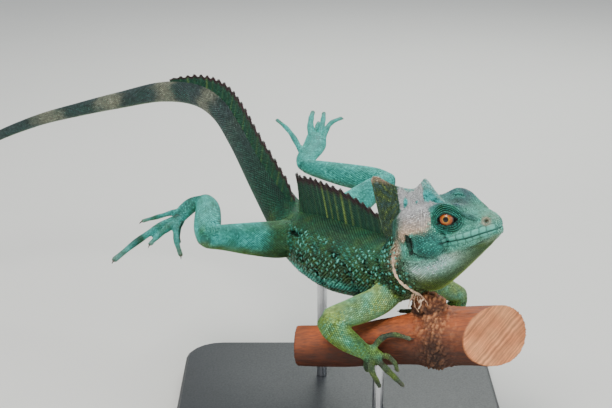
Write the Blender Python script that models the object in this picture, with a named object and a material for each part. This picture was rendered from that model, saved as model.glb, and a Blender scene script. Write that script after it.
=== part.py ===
"""A male green basilisk lying over the end of a cut log, life size, as a museum model on a display stand.

Metres, +Z up. The origin is the middle of the stand's underside. The snout points to +X and a little to -Y.
"""

import math

import bmesh
import bpy
from mathutils import Vector

MM = 0.001
GAP = 0.3 * MM
CUT_GAP = 0.36 * MM
MERGE = 0.0002 * MM

# The stand.
BASE_LENGTH = 200 * MM
BASE_DEPTH = 160 * MM
BASE_THICKNESS = 12 * MM
BASE_CORNER = 22 * MM
ROD_RADIUS = 3.2 * MM
LOG_ROD_PLACE = 3.4
BODY_ROD_ROW = 4.9

# The log, as centres and radii in mm from beyond its cut end, and its collar of bark and knob.
LOG_ROWS = (
    (124, -67.4, 83.5, 17.8),
    (93.4, -62, 80.5, 17.6),
    (58, -56, 77.5, 16.6),
    (30, -51, 72.6, 14.0),
    (12.6, -48, 69.2, 12.4),
    (-6, -44.5, 66.4, 11.6),
    (-25, -41, 64.5, 11.2),
)
LOG_CUT = Vector((88.8, -61.2, 80)) * MM
LOG_CUT_FACING = Vector((0.585, -0.765, 0.27)).normalized()
COLLAR_PLACE = 2.1
COLLAR_WIDTH = 0.24
COLLAR_RISE = 2.4 * MM
KNOB_CENTRE = Vector((51, -52, 94)) * MM
KNOB_RADIUS = 9 * MM

# The head: where the tip of the mouth is, and which way it points.
MOUTH_TIP = Vector((86.5, -74, 150)) * MM
HEAD_YAW = math.radians(28)
HEAD_PITCH = math.radians(16)

# The stations of the body and tail: centre, half width, height above and depth below, in mm.
BODY_ROWS = (
    (49, -56, 145, 14.0, 13.0, 12.0),
    (42, -48.5, 132, 16.4, 14.6, 15.5),
    (37, -41, 118, 18.5, 15.5, 21.5),
    (22, -19, 111, 20.5, 17.0, 24.0),
    (3, 9, 107, 21.5, 17.5, 28.0),
    (-11, 31, 104, 19.5, 17.0, 26.5),
    (-23, 50, 102, 15.5, 15.5, 20.5),
    (-34, 67, 109, 12.2, 13.8, 13.8),
    (-49, 94, 125, 9.8, 11.8, 11.6),
    (-65, 128, 143, 8.4, 10.6, 10.0),
    (-80, 155, 156, 7.4, 9.4, 9.0),
    (-99, 177, 161, 6.6, 8.4, 8.0),
    (-126, 195, 158, 5.8, 7.3, 7.0),
    (-158, 206, 149, 5.0, 6.1, 5.9),
    (-189, 214, 140, 4.3, 5.1, 5.0),
    (-224, 216, 130, 3.6, 4.2, 4.2),
    (-261, 211, 115, 2.9, 3.4, 3.4),
    (-289, 197, 96, 2.3, 2.7, 2.7),
    (-305, 176, 72, 1.8, 2.1, 2.1),
    (-310, 153, 47, 1.3, 1.5, 1.5),
    (-305, 134, 26, 0.7, 0.8, 0.8),
)

# Where the body and tail are parted, as rows of that table, and how many stations and sides each length has.
BODY_PARTS = (
    ("neck", 0.0, 1.75, 6, 20),
    ("chest", 1.75, 3.1, 6, 20),
    ("belly", 3.1, 5.2, 7, 20),
    ("hips", 5.2, 7.0, 6, 20),
    ("tail_1", 7.0, 9.0, 6, 14),
    ("tail_2", 9.0, 11.2, 7, 14),
    ("tail_3", 11.2, 14.0, 7, 12),
    ("tail_4", 14.0, 17.0, 7, 10),
    ("tail_5", 17.0, 20.0, 8, 8),
)

# The upper head, from the snout back: station, lip half width, cheek, brow ridge and crown, in mm.
HEAD_ROWS = (
    (-1.2, 1.6, 2.4, 2.0, 1.4, 4.0, 4.3),
    (1.5, 5.0, 5.3, 3.0, 3.4, 7.0, 7.7),
    (5.0, 7.6, 7.9, 4.5, 5.0, 10.2, 10.8),
    (9.0, 9.4, 9.6, 5.0, 6.9, 13.2, 13.2),
    (14.0, 11.4, 11.5, 6.0, 9.2, 16.6, 15.6),
    (19.0, 13.0, 12.9, 6.5, 11.3, 19.2, 17.2),
    (25.0, 14.6, 14.0, 8.0, 12.4, 20.6, 18.2),
    (31.0, 16.0, 15.8, 9.0, 12.4, 20.4, 19.4),
    (37.0, 17.2, 17.6, 9.0, 12.0, 19.6, 20.8),
    (44.0, 17.8, 18.6, 8.0, 11.6, 18.6, 21.4),
    (51.0, 17.0, 17.8, 7.0, 11.0, 17.4, 20.4),
    (57.0, 14.4, 15.6, 7.0, 9.8, 15.4, 18.0),
    (61.5, 9.6, 11.0, 6.6, 7.0, 12.4, 13.6),
)

# The lower jaw: station, half width at the lips, and depth.
JAW_ROWS = (
    (-0.4, 1.6, 2.2),
    (2.0, 4.8, 4.0),
    (6.0, 7.6, 5.6),
    (12.0, 10.4, 7.6),
    (20.0, 13.0, 9.6),
    (30.0, 15.8, 12.0),
    (38.0, 17.6, 14.4),
    (46.0, 18.8, 15.4),
    (53.0, 17.0, 14.0),
    (58.0, 13.0, 10.0),
)

# The throat pouch: station, half width and how far down its keel hangs.
THROAT_ROWS = (
    (3.0, 2.6, 5.0),
    (8.0, 6.0, 8.6),
    (15.0, 9.0, 13.4),
    (23.0, 11.6, 18.8),
    (31.0, 13.6, 24.0),
    (39.0, 14.8, 28.6),
    (46.0, 15.0, 31.2),
    (53.0, 14.4, 30.0),
    (60.0, 12.6, 25.0),
    (66.0, 9.6, 17.0),
)
THROAT_TOP = 4.0 * MM

EYE_PLACE = (25.0, 10.6, 12.2)
EYE_RADIUS = 5.3 * MM
EYE_FACING = (-0.22, 0.96, 0.14)
LID_FOLDS = ((5.6, 4.5, 1.5, 1.0), (8.2, 6.9, 1.1, -0.9))
NOSTRIL_PLACE = (4.4, 7.0, 7.4)
EAR_PLACE = (48.4, 18.6, -1.2)
EAR_SIZE = (2.2, 2.4, 5.4)
JOWL_PLACE = (38.0, 12.8, -1.5)
JOWL_SIZE = (9.6, 6.8, 8.2)

# The outline of the head's crest: station, top edge, foot, and half thickness at the foot, in mm.
HEAD_CREST_ROWS = (
    (30.0, 20.0, 16.0, 2.5),
    (33.5, 25.5, 16.0, 4.5),
    (37.5, 33.6, 16.0, 6.0),
    (41.5, 31.4, 15.0, 7.0),
    (46.0, 29.0, 14.0, 8.0),
    (51.0, 29.6, 12.0, 8.0),
    (57.0, 32.2, 9.0, 6.6),
    (63.0, 35.8, 5.0, 4.6),
    (69.0, 39.0, 3.0, 2.6),
    (71.5, 37.6, 8.0, 1.0),
)
HEAD_CREST_PARTING = 46.0
CREST_EDGE = 0.8 * MM

# The sails of the back and the tail: row of the body, height in mm. Their rays lean towards the tail.
SAIL_ROWS = (
    (1.9, 2.0),
    (2.4, 8.0),
    (3.0, 14.0),
    (3.8, 18.5),
    (4.7, 21.0),
    (5.5, 22.0),
    (6.15, 21.5),
)
SAIL_RAYS = 19
SAIL_LEAN = 0.42
SAIL_ROOT = 2.4 * MM
SAIL_EDGE = 0.55 * MM
RAY_RISE = 0.65 * MM
RAY_TIP = 1.6 * MM
TAIL_SAIL_ROWS = (
    (6.75, 3.0),
    (7.2, 9.0),
    (8.0, 12.5),
    (9.0, 12.5),
    (10.0, 9.5),
    (11.0, 5.0),
    (11.7, 1.5),
)
TAIL_SAIL_RAYS = 24
TAIL_SAIL_LEAN = 0.35

# Each leg's joints, as centre, half width across and half thickness, in mm. R is the side nearer the viewer.
LIMBS = {
    "upper_arm_R": (
        (30, -42, 102, 8.4, 9.4), (22, -50, 97.5, 7.6, 8.8),
        (8, -58, 94.4, 7.2, 8.2), (-6.5, -61, 91.2, 5.8, 6.4),
    ),
    "forearm_R": (
        (-9.5, -60.6, 89.6, 5.2, 5.4), (-5, -62.6, 85.8, 7.0, 7.0), (3, -64.6, 79.6, 6.8, 6.6),
        (10.3, -66, 74.8, 5.8, 5.0), (14, -66.8, 72.6, 5.4, 4.2),
    ),
    "upper_arm_L": (
        (46, -36, 107, 8.4, 9.2), (56, -30, 99, 7.0, 7.6),
        (65, -23, 92.5, 5.8, 6.2), (72.5, -18, 87.6, 4.8, 5.0),
    ),
    "forearm_L": (
        (73, -17.5, 86.6, 4.4, 4.6), (70, -20, 81.5, 5.4, 5.4), (65, -24, 77.5, 5.2, 5.0),
        (59, -29, 75.5, 4.4, 4.2), (54, -31.5, 74, 4.2, 3.6),
    ),
    "thigh_R": (
        (-25, 45, 102, 10.0, 12.0), (-37, 37, 102.5, 10.2, 12.0), (-54, 26, 107, 9.0, 10.4),
        (-70, 15, 112, 7.4, 8.2), (-80, 8, 114.5, 6.4, 7.0),
    ),
    "shin_R": (
        (-81, 6.5, 115, 6.0, 6.4), (-81, 18, 116.5, 8.2, 8.4), (-81.5, 32, 118, 8.4, 8.6),
        (-82.5, 48, 119.2, 7.6, 7.4), (-85, 60.5, 119.8, 5.6, 5.2),
    ),
    "thigh_L": (
        (-16, 56, 102, 10.0, 12.0), (-5, 65, 105, 10.2, 12.0), (10, 77, 111, 9.0, 10.4),
        (24, 88, 118, 7.4, 8.2), (34, 95.5, 121, 6.4, 7.0),
    ),
    "shin_L": (
        (36, 96, 121, 6.0, 6.4), (26, 100, 121.5, 8.2, 8.4), (8, 107, 122.5, 7.8, 8.0),
        (-10, 113.5, 124.5, 6.2, 6.2), (-20, 117, 125.8, 5.2, 4.8),
    ),
}

# The hands and feet: the palm's own stations, then each digit's joints and its half width at the root, in mm.
FEET = {
    "hand_R": {
        "palm": ((13.6, -66.6, 72.8, 5.2, 3.6), (17.2, -67.6, 71.4, 6.4, 3.2), (20.6, -68.6, 70.2, 5.4, 2.6)),
        "out": (0.1, -0.95, -0.3),
        "digits": (
            ((17.5, -66.6, 74), (22.8, -65.8, 81), (30, -67, 83.8), (38.4, -68.8, 82.2), 2.2),
            ((20, -68, 71.5), (26, -70.4, 72), (30, -71.4, 68.6), (32, -70, 63), 2.0),
            ((19.5, -68.4, 70), (26, -71.6, 64), (31, -72.3, 59), (35.2, -70.4, 53.8), 2.2),
            ((16, -67.8, 69.6), (17.5, -71, 62.8), (20.4, -71, 56.8), (22, -68, 52), 2.1),
            ((15, -65.8, 70), (14, -66.4, 64.6), (15, -61.6, 59.4), (16.6, -55, 55.6), 1.8),
        ),
    },
    "hand_L": {
        "palm": ((54.5, -31.2, 74.2, 4.0, 3.2), (50.5, -33, 72.6, 5.2, 3.0), (47.5, -34.2, 71.6, 4.2, 2.4)),
        "out": (0.0, 0.95, -0.3),
        "digits": (
            ((51, -32.5, 74.6), (47, -31.2, 80.4), (41.5, -33.4, 83.4), (35.6, -34.6, 84.2), 2.2),
            ((50, -32.8, 73), (42.5, -30.8, 75), (36, -30.4, 74.4), (29.4, -30.6, 72), 2.1),
            ((50, -33, 72), (42.5, -32, 68.5), (36.5, -33, 63.6), (32.5, -35.8, 59), 2.2),
            ((51, -33, 71.5), (48, -32.8, 65), (45.6, -35, 59.6), (44, -38.6, 56.4), 2.1),
            ((52.5, -32.4, 71.5), (55.6, -33.6, 66.5), (57, -37, 62.4), (57, -41, 60), 1.8),
        ),
    },
    "foot_R": {
        "palm": (
            (-86, 61.5, 119.4, 5.0, 4.4), (-92, 60.6, 118.6, 5.6, 3.6),
            (-97.2, 54.5, 116, 5.6, 3.2), (-101, 49, 113, 4.8, 2.6),
        ),
        "out": (0.2, -0.1, 1.0),
        "digits": (
            ((-97, 59, 112), (-100.5, 54, 107.5), (-102, 48, 102.2), (-101, 44, 98), 2.1),
            ((-98.8, 51, 114.2), (-101.9, 38.5, 110.6), (-100.6, 22.5, 107), (-97, 9.5, 102.6), 2.5),
            ((-100.2, 46.5, 112.6), (-107, 33, 111), (-112.4, 23, 109.4), (-116, 15, 107.6), 2.4),
            ((-100.8, 50, 112.8), (-111.7, 33, 112.6), (-123.8, 13, 110), (-135, -8.5, 106.4), 2.9),
            ((-98, 55.3, 116.2), (-106.3, 52.6, 114.7), (-115, 48, 113.5), (-123.6, 43.8, 112.4), 2.2),
        ),
    },
    "foot_L": {
        "palm": (
            (-21.5, 117.5, 126, 5.0, 4.0), (-20, 127, 128.4, 6.8, 3.8),
            (-14.3, 146, 131.2, 8.2, 3.4), (-12.6, 163, 133.8, 7.0, 2.8),
        ),
        "out": (0.0, -0.25, 1.0),
        "digits": (
            ((-22, 131.7, 129.2), (-28.4, 152.8, 135.3), (-33.9, 169.5, 137.9), (-40.8, 180.8, 140.8), 2.3),
            ((-16, 158, 133), (-16.8, 176.7, 137.1), (-16.2, 189, 139.9), (-15, 199.6, 141.4), 2.8),
            ((-12.6, 159, 131.8), (-12.3, 178, 133.6), (-11.6, 189, 134.4), (-10.9, 198, 134), 2.3),
            ((-10.8, 158, 133), (-8.7, 176.7, 137.1), (-7.4, 189, 139.3), (-6.8, 199.4, 140.7), 2.6),
            ((-8.5, 153, 133), (-5.4, 168, 137.5), (-1.2, 178, 140), (5.6, 185, 141), 2.4),
        ),
    },
}
DIGIT_TIP = 0.62
CLAW_LENGTH = 3.6 * MM


def clear_scene():
    for obj in list(bpy.data.objects):
        bpy.data.objects.remove(obj)


def material(name, colour, roughness, metallic=0.0):
    made = bpy.data.materials.new(name)
    made.use_nodes = True
    shader = made.node_tree.nodes["Principled BSDF"]
    shader.inputs["Base Color"].default_value = (*colour, 1.0)
    shader.inputs["Roughness"].default_value = roughness
    shader.inputs["Metallic"].default_value = metallic
    return made


def row_at(rows, place):
    """The numbers of a table at a place between its rows, on a smooth curve through them."""
    last = len(rows) - 1
    i = min(int(place), last - 1)
    t = place - i
    before = rows[max(i - 1, 0)]
    after = rows[min(i + 2, last)]
    found = []
    for a, b, c, d in zip(before, rows[i], rows[i + 1], after):
        m0 = (c - a) / 2
        m1 = (d - b) / 2
        h = (2 * t**3 - 3 * t**2 + 1) * b + (t**3 - 2 * t**2 + t) * m0
        found.append(h + (-2 * t**3 + 3 * t**2) * c + (t**3 - t**2) * m1)
    return found


def value_at(rows, x):
    """The other numbers of a table whose first column rises, at x."""
    i = 0
    while i < len(rows) - 2 and rows[i + 1][0] < x:
        i += 1
    t = (x - rows[i][0]) / (rows[i + 1][0] - rows[i][0])
    return row_at([row[1:] for row in rows], i + min(max(t, 0.0), 1.0))


def face_outward(bm):
    bm.normal_update()
    bmesh.ops.recalc_face_normals(bm, faces=list(bm.faces))


def steps(start, end, count):
    return [start + (end - start) * i / (count - 1) for i in range(count)]


def frame_at(rows, place, up_hint):
    """Centre, forward, side and up of a path of rows, whose first three numbers are a place in mm."""
    step = 0.02
    last = len(rows) - 1
    centre = Vector(row_at(rows, place)[:3]) * MM
    ahead = Vector(row_at(rows, min(place + step, last))[:3])
    behind = Vector(row_at(rows, max(place - step, 0))[:3])
    forward = (ahead - behind).normalized()
    side = forward.cross(up_hint).normalized()
    return centre, forward, side, side.cross(forward).normalized()


def oval(centre, side, up, half_width, top, bottom, sides, grow=0.0):
    ring = []
    for k in range(sides):
        angle = 2 * math.pi * k / sides
        across = math.cos(angle) * (half_width + grow)
        rise = math.sin(angle) * ((top if math.sin(angle) > 0 else bottom) + grow)
        ring.append(centre + side * across + up * rise)
    return ring


def loft(rings, alike=False):
    """A closed bmesh through rings of points. With alike, both its faces are split the same way."""
    bm = bmesh.new()
    count = len(rings[0])
    loop = bmesh.ops.create_circle(bm, segments=count, radius=1.0)["verts"]
    for vert, point in zip(loop, rings[0]):
        vert.co = point
    order = {vert: k for k, vert in enumerate(loop)}
    for ring in rings[1:]:
        edges = {e for v in order for e in v.link_edges if all(w in order for w in e.verts)}
        made = bmesh.ops.extrude_edge_only(bm, edges=list(edges))["geom"]
        grown = {}
        for vert in made:
            if isinstance(vert, bmesh.types.BMVert):
                old = next(e.other_vert(vert) for e in vert.link_edges if e.other_vert(vert) in order)
                grown[vert] = order[old]
                vert.co = ring[order[old]]
        if alike:
            split_alike(bm, order, grown, count)
        order = grown
    bmesh.ops.holes_fill(bm, edges=list(bm.edges), sides=0)
    face_outward(bm)
    return bm


def split_alike(bm, order, grown, count):
    old = {k: v for v, k in order.items()}
    new = {k: v for v, k in grown.items()}
    for k in range(count):
        other = (k + 1) % count
        pair = (old[k], new[other]) if k < count // 2 else (old[other], new[k])
        bmesh.ops.connect_verts(bm, verts=list(pair))


def new_object(name, bm, finish):
    mesh = bpy.data.meshes.new(name)
    bmesh.ops.triangulate(bm, faces=[f for f in bm.faces if len(f.verts) > 3])
    bm.to_mesh(mesh)
    bm.free()
    obj = bpy.data.objects.new(name, mesh)
    bpy.context.scene.collection.objects.link(obj)
    mesh.materials.append(finish)
    return obj


def ball(centre, axes, radii, segments=12, rings=8):
    bm = bmesh.new()
    made = bmesh.ops.create_uvsphere(bm, u_segments=segments, v_segments=rings, radius=1.0)
    for vert in made["verts"]:
        place = centre.copy()
        for axis, radius, share in zip(axes, radii, vert.co.copy()):
            place += axis * radius * share
        vert.co = place
    face_outward(bm)
    return bm


def apply_boolean(obj, operation, others, solver="EXACT"):
    """Cuts or joins obj with the other objects, which are then removed."""
    group = bpy.data.collections.new("others")
    for other in others:
        group.objects.link(other)
    change = obj.modifiers.new("change", "BOOLEAN")
    change.operation = operation
    change.operand_type = "COLLECTION"
    change.collection = group
    change.solver = solver
    bpy.context.view_layer.update()
    graph = bpy.context.evaluated_depsgraph_get()
    mesh = bpy.data.meshes.new_from_object(obj.evaluated_get(graph))
    obj.modifiers.clear()
    finish = obj.data.materials[0]
    obj.data = mesh
    obj.data.materials.clear()
    obj.data.materials.append(finish)
    for other in others:
        bpy.data.objects.remove(other)
    bpy.data.collections.remove(group)
    keep_largest(obj)


def keep_largest(obj):
    bm = bmesh.new()
    bm.from_mesh(obj.data)
    bmesh.ops.remove_doubles(bm, verts=list(bm.verts), dist=MERGE)
    left = set(bm.verts)
    islands = []
    while left:
        seed = left.pop()
        island = {seed}
        front = [seed]
        while front:
            for edge in front.pop().link_edges:
                for vert in edge.verts:
                    if vert in left:
                        left.discard(vert)
                        island.add(vert)
                        front.append(vert)
        islands.append(island)
    islands.sort(key=island_reach)
    for island in islands[:-1]:
        bmesh.ops.delete(bm, geom=list(island), context="VERTS")
    bmesh.ops.triangulate(bm, faces=[f for f in bm.faces if len(f.verts) > 3])
    bm.to_mesh(obj.data)
    bm.free()


def island_reach(island):
    lows = [min(v.co[i] for v in island) for i in range(3)]
    highs = [max(v.co[i] for v in island) for i in range(3)]
    return (Vector(highs) - Vector(lows)).length


def swollen(obj, by=CUT_GAP):
    """A copy of obj grown by the gap, to cut a neighbour with."""
    bm = bmesh.new()
    bm.from_mesh(obj.data)
    bm.normal_update()
    shifts = [(v, v.normal * by * min(v.calc_shell_factor(), 1.6)) for v in bm.verts]
    for vert, shift in shifts:
        vert.co += shift
    return new_object(obj.name + "_swollen", bm, obj.data.materials[0])


def cut_clear(obj, *neighbours):
    for neighbour in neighbours:
        apply_boolean(obj, "DIFFERENCE", [swollen(neighbour)])


def fuse(name, pieces, finish):
    objects = [new_object(f"{name}_{i}", bm, finish) for i, bm in enumerate(pieces)]
    first = objects[0]
    if objects[1:]:
        apply_boolean(first, "UNION", objects[1:])
    first.name = name
    return first


def smooth(obj, degrees=50):
    obj.data.shade_smooth()
    obj.data.set_sharp_from_angle(angle=math.radians(degrees))


def head_axes():
    """Back along the head, out to its right side, and up, as unit vectors."""
    level = math.cos(HEAD_PITCH)
    ahead = Vector((math.cos(HEAD_YAW) * level, -math.sin(HEAD_YAW) * level, math.sin(HEAD_PITCH)))
    right = Vector((-math.sin(HEAD_YAW), -math.cos(HEAD_YAW), 0.0))
    return -ahead, right, right.cross(ahead)


def on_head(back, out, rise):
    """A point of the head, from distances in mm behind the mouth's tip, out to its right and up."""
    axes = head_axes()
    return MOUTH_TIP + (axes[0] * back + axes[1] * out + axes[2] * rise) * MM


def body_ring(place, sides, shift=0.0):
    row = row_at(BODY_ROWS, place)
    centre, forward, side, up = frame_at(BODY_ROWS, place, Vector((0, 0, 1)))
    width, top, bottom = (size * MM for size in row[3:])
    return oval(centre + forward * shift, side, up, width, top, bottom, sides)


def make_body(finishes):
    made = {}
    for name, start, end, stations, sides in BODY_PARTS:
        rings = []
        for i, place in enumerate(steps(start, end, stations)):
            shift = 0.0
            if i == 0 and start > 0:
                shift = GAP / 2
            if i == stations - 1 and end < len(BODY_ROWS) - 1:
                shift = -GAP / 2
            rings.append(body_ring(place, sides, shift))
        made[name] = new_object(name, loft(rings), finishes["skin"])
    return made


def mirrored_ring(back, half):
    """A ring of the head from its right half, listed from the middle below to the middle above."""
    right = [on_head(back, out, rise) for out, rise in half]
    left = [on_head(back, -out, rise) for out, rise in reversed(half) if out > 0]
    return right + left


def head_ring(back, row):
    lip, cheek, cheek_up, ridge, ridge_up, crown = row
    return mirrored_ring(back, (
        (0, -2.0), (lip * 0.9, -2.0), (lip, 0.3), (cheek, cheek_up),
        ((cheek + ridge) / 2 + 0.4, (cheek_up + ridge_up) / 2), (ridge, ridge_up),
        (ridge * 0.55, (ridge_up + crown) / 2), (0, crown),
    ))


def tube(path, radius, sides=6, ends=0.5):
    """A round bar through points, with ends that taper."""
    rows = [tuple(point / MM) for point in path]
    rings = []
    stations = len(rows) + 2
    for i, place in enumerate(steps(0, len(rows) - 1, stations)):
        size = radius * (ends if i in (0, stations - 1) else 1.0)
        centre, _, side, up = frame_at(rows, place, Vector((0.1, 0.2, 1)))
        rings.append(oval(centre, side, up, size, size, size, sides))
    return loft(rings)


def lid_fold(side, across, tall, thickness, out):
    """A ring of skin round the eye. Its two sizes are how far it lies from the middle of the eye."""
    back, right, up = head_axes()
    facing = (back * EYE_FACING[0] + right * EYE_FACING[1] * side + up * EYE_FACING[2]).normalized()
    level = up.cross(facing).normalized()
    upright = facing.cross(level).normalized()
    middle = on_head(EYE_PLACE[0], EYE_PLACE[1] * side, EYE_PLACE[2])
    middle += facing * (EYE_RADIUS - 1.8 * MM + out * MM)
    bm = bmesh.new()
    segments = 12
    ring_sides = 4
    rows = []
    for i in range(segments):
        angle = 2 * math.pi * i / segments
        spoke = level * math.cos(angle) * across + upright * math.sin(angle) * tall
        rows.append([
            bm.verts.new(middle + spoke * MM
                         + (spoke.normalized() * math.cos(turn) + facing * math.sin(turn)) * thickness * MM)
            for turn in (2 * math.pi * k / ring_sides for k in range(ring_sides))
        ])
    for i in range(segments):
        for k in range(ring_sides):
            following = rows[(i + 1) % segments]
            beside = (k + 1) % ring_sides
            bm.faces.new((rows[i][k], following[k], following[beside], rows[i][beside]))
    face_outward(bm)
    return bm


def trim_at_mouth(obj, sign):
    """Cuts away what lies above the mouth line, or with -1 below it, and leaves half a gap."""
    block = bmesh.new()
    bmesh.ops.create_cube(block, size=1.0)
    for vert in block.verts:
        vert.co = on_head(30 + vert.co.x * 90, vert.co.y * 60, (20 - GAP / MM / 2 + vert.co.z * 40) * sign)
    face_outward(block)
    apply_boolean(obj, "DIFFERENCE", [new_object("block", block, obj.data.materials[0])])


def jowl(side, axes):
    """The bulge of muscle at the corner of the mouth, which the head and the jaw share."""
    spot = on_head(JOWL_PLACE[0], JOWL_PLACE[1] * side, JOWL_PLACE[2])
    return ball(spot, axes, [r * MM for r in JOWL_SIZE], 12, 8)


def make_head(finishes):
    skull = loft([head_ring(row[0], row[1:]) for row in HEAD_ROWS])
    pieces = [skull]
    axes = head_axes()
    for side in (1, -1):
        pieces.append(tube([on_head(b, o * side, r) for b, o, r in (
            (12.5, 8.4, 14.8), (17, 10.6, 17.8), (22, 12.4, 19.8),
            (27.5, 13.4, 20.8), (33, 13.0, 19.8), (39, 11.4, 18.0),
        )], 2.0 * MM))
        pieces.append(tube([on_head(b, o * side, 2.4) for b, o in (
            (1.6, 3.9), (5, 7.0), (12, 10.2), (20, 12.9), (28, 15.2), (36, 16.6)
        )], 1.7 * MM))
        for across, tall, thickness, out in LID_FOLDS:
            pieces.append(lid_fold(side, across, tall, thickness, out))
        spot = on_head(NOSTRIL_PLACE[0], (NOSTRIL_PLACE[1] - 0.9) * side, NOSTRIL_PLACE[2])
        pieces.append(ball(spot, axes, [r * MM for r in (2.0, 1.4, 1.7)], 8, 5))
        pieces.append(jowl(side, axes))
    head = fuse("head", pieces, finishes["skin"])
    trim_at_mouth(head, -1)
    eyes = []
    for side, name in ((1, "eye_R"), (-1, "eye_L")):
        centre = on_head(EYE_PLACE[0], EYE_PLACE[1] * side, EYE_PLACE[2])
        eyes.append(new_object(name, ball(centre, axes, [EYE_RADIUS] * 3, 14, 8), finishes["eye"]))
        hole = ball(on_head(NOSTRIL_PLACE[0] - 0.2, NOSTRIL_PLACE[1] * side, NOSTRIL_PLACE[2]), axes,
                    [r * MM for r in (0.9, 1.6, 0.75)], 6, 5)
        ear = ball(on_head(EAR_PLACE[0], EAR_PLACE[1] * side, EAR_PLACE[2] + EAR_SIZE[2] * 0.55), axes,
                   [r * MM for r in EAR_SIZE], 8, 6)
        apply_boolean(head, "DIFFERENCE", [new_object("hole", hole, finishes["skin"])])
        apply_boolean(head, "DIFFERENCE", [new_object("ear", ear, finishes["skin"])])
    cut_clear(head, *eyes)
    return head, eyes


def make_jaw(finishes):
    rings = []
    for back, lip, depth in JAW_ROWS:
        rings.append(mirrored_ring(back, (
            (0, -depth), (lip * 0.55, -depth * 0.9), (lip * 0.93, -depth * 0.52), (lip, -0.6),
            (lip * 0.9, 2.0), (0, 2.0),
        )))
    pieces = [loft(rings)]
    axes = head_axes()
    for side in (1, -1):
        pieces.append(jowl(side, axes))
    jaw = fuse("lower_jaw", pieces, finishes["skin"])
    trim_at_mouth(jaw, 1)
    return jaw


def make_throat(finishes):
    rings = []
    top = THROAT_TOP / MM
    for back, width, keel in THROAT_ROWS:
        depth = keel - top
        rings.append(mirrored_ring(back, (
            (0, -keel), (width * 0.34, -keel + depth * 0.07), (width * 0.72, -keel + depth * 0.28),
            (width * 0.96, -keel + depth * 0.58), (width, -top - depth * 0.1), (width * 0.7, -top), (0, -top),
        )))
    return new_object("throat", loft(rings), finishes["throat"])


def vane_half(root, edge, rise, tip):
    """Half thickness at five heights of a vane, with a ray's extra thickness where it has one."""
    shares = (0.0, 0.3, 0.68, 1.0)
    return [(s, root * (1 - s) ** 1.4 + edge + rise * (1 - s * 0.6) * (s < 1.0), tip * s) for s in shares]


def make_head_crest(name, start, end, stations, finishes):
    rings = []
    for i, back in enumerate(steps(start, end, stations)):
        top, foot, root = value_at(HEAD_CREST_ROWS, back)
        if back == HEAD_CREST_PARTING:
            back += (GAP if start == HEAD_CREST_PARTING else -GAP) / MM / 2
        half = [(out / MM, foot + (top - foot) * share)
                for share, out, _ in vane_half(root * MM, CREST_EDGE, 0.0, 0.0)]
        right = [on_head(back, out, rise) for out, rise in half]
        left = [on_head(back, -out, rise) for out, rise in reversed(half)]
        rings.append(right + left)
    return new_object(name, loft(rings, alike=True), finishes["crest"])


def make_sail(name, rows, rays, lean, first, last, finishes, parting=None):
    """A vane along the back, from one row of the body to another, with a ridge and a tooth for each ray."""
    rings = []
    columns = 2 * rays + 1
    for i, place in enumerate(steps(rows[0][0], rows[-1][0], columns)):
        if place < first or place > last:
            continue
        height = value_at(rows, place)[0] * MM
        ray = i % 2 == 1
        centre, forward, side, up = frame_at(BODY_ROWS, place, Vector((0, 0, 1)))
        crown = row_at(BODY_ROWS, place)[4] * MM
        sink = min(6 * MM, crown * 0.6)
        root = min(SAIL_ROOT, 0.5 * height + 0.4 * MM)
        tooth = min(RAY_TIP, 0.3 * height)
        half = vane_half(root, SAIL_EDGE, RAY_RISE * ray, tooth * ray)
        right = []
        left = []
        for share, out, tip in half:
            rise = crown - sink + (height + sink) * share + tip
            point = centre + up * rise + forward * max(rise - crown, 0) * lean
            right.append(point + side * out)
            left.append(point - side * out)
        rings.append(right + left[::-1])
    return new_object(name, loft(rings, alike=True), finishes["crest"])


def make_limb(name, rows, finishes):
    rings = []
    for place in steps(0, len(rows) - 1, 2 * len(rows) - 2):
        row = row_at(rows, place)
        centre, _, side, up = frame_at(rows, place, Vector((0.12, 0.1, 1)))
        rings.append(oval(centre, side, up, row[3] * MM, row[4] * MM, row[4] * MM, 12))
    # Rounded ends, a little beyond the first and last joints.
    for at, last in ((0, 0), (-1, len(rows) - 1)):
        centre, forward, _, _ = frame_at(rows, last, Vector((0.12, 0.1, 1)))
        sign = -1 if at == 0 else 1
        reach = rows[last][4] * MM * 0.45 * sign
        cap = [centre + (point - centre) * 0.6 + forward * reach for point in rings[at]]
        rings.insert(0 if at == 0 else len(rings), cap)
    return new_object(name, loft(rings), finishes["skin"])


def digit(joints, width, out):
    """A finger or toe with knuckles, ending in a hooked claw."""
    rows = [tuple(joint) for joint in joints]
    out = Vector(out).normalized()
    rings = []
    stations = 7
    for i, place in enumerate(steps(0, len(rows) - 1, stations)):
        centre, forward, side, up = frame_at(rows, place, out)
        share = i / (stations - 1)
        size = width * (1 - share * (1 - DIGIT_TIP)) * (1.1 if i % 2 == 0 else 0.96) * MM
        rings.append(oval(centre, side, up, size, size * 0.92, size * 0.8, 6))
    for reach, drop, size in ((0.45, 0.0, 0.62), (1.0, 0.28, 0.2)):
        spot = centre + forward * CLAW_LENGTH * reach - up * CLAW_LENGTH * drop
        rings.append(oval(spot, side, up, width * DIGIT_TIP * size * MM, width * DIGIT_TIP * size * MM,
                          width * DIGIT_TIP * size * MM, 6))
    return loft(rings)


def make_foot(name, plan, finishes):
    out = Vector(plan["out"]).normalized()
    rows = plan["palm"]
    rings = []
    for place in steps(0, len(rows) - 1, len(rows) + 1):
        row = row_at(rows, place)
        centre, _, side, up = frame_at(rows, place, out)
        rings.append(oval(centre, side, up, row[3] * MM, row[4] * MM, row[4] * 0.9 * MM, 8))
    pieces = [loft(rings)]
    for entry in plan["digits"]:
        pieces.append(digit(entry[:-1], entry[-1], out))
    return fuse(name, pieces, finishes["skin"])


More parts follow.
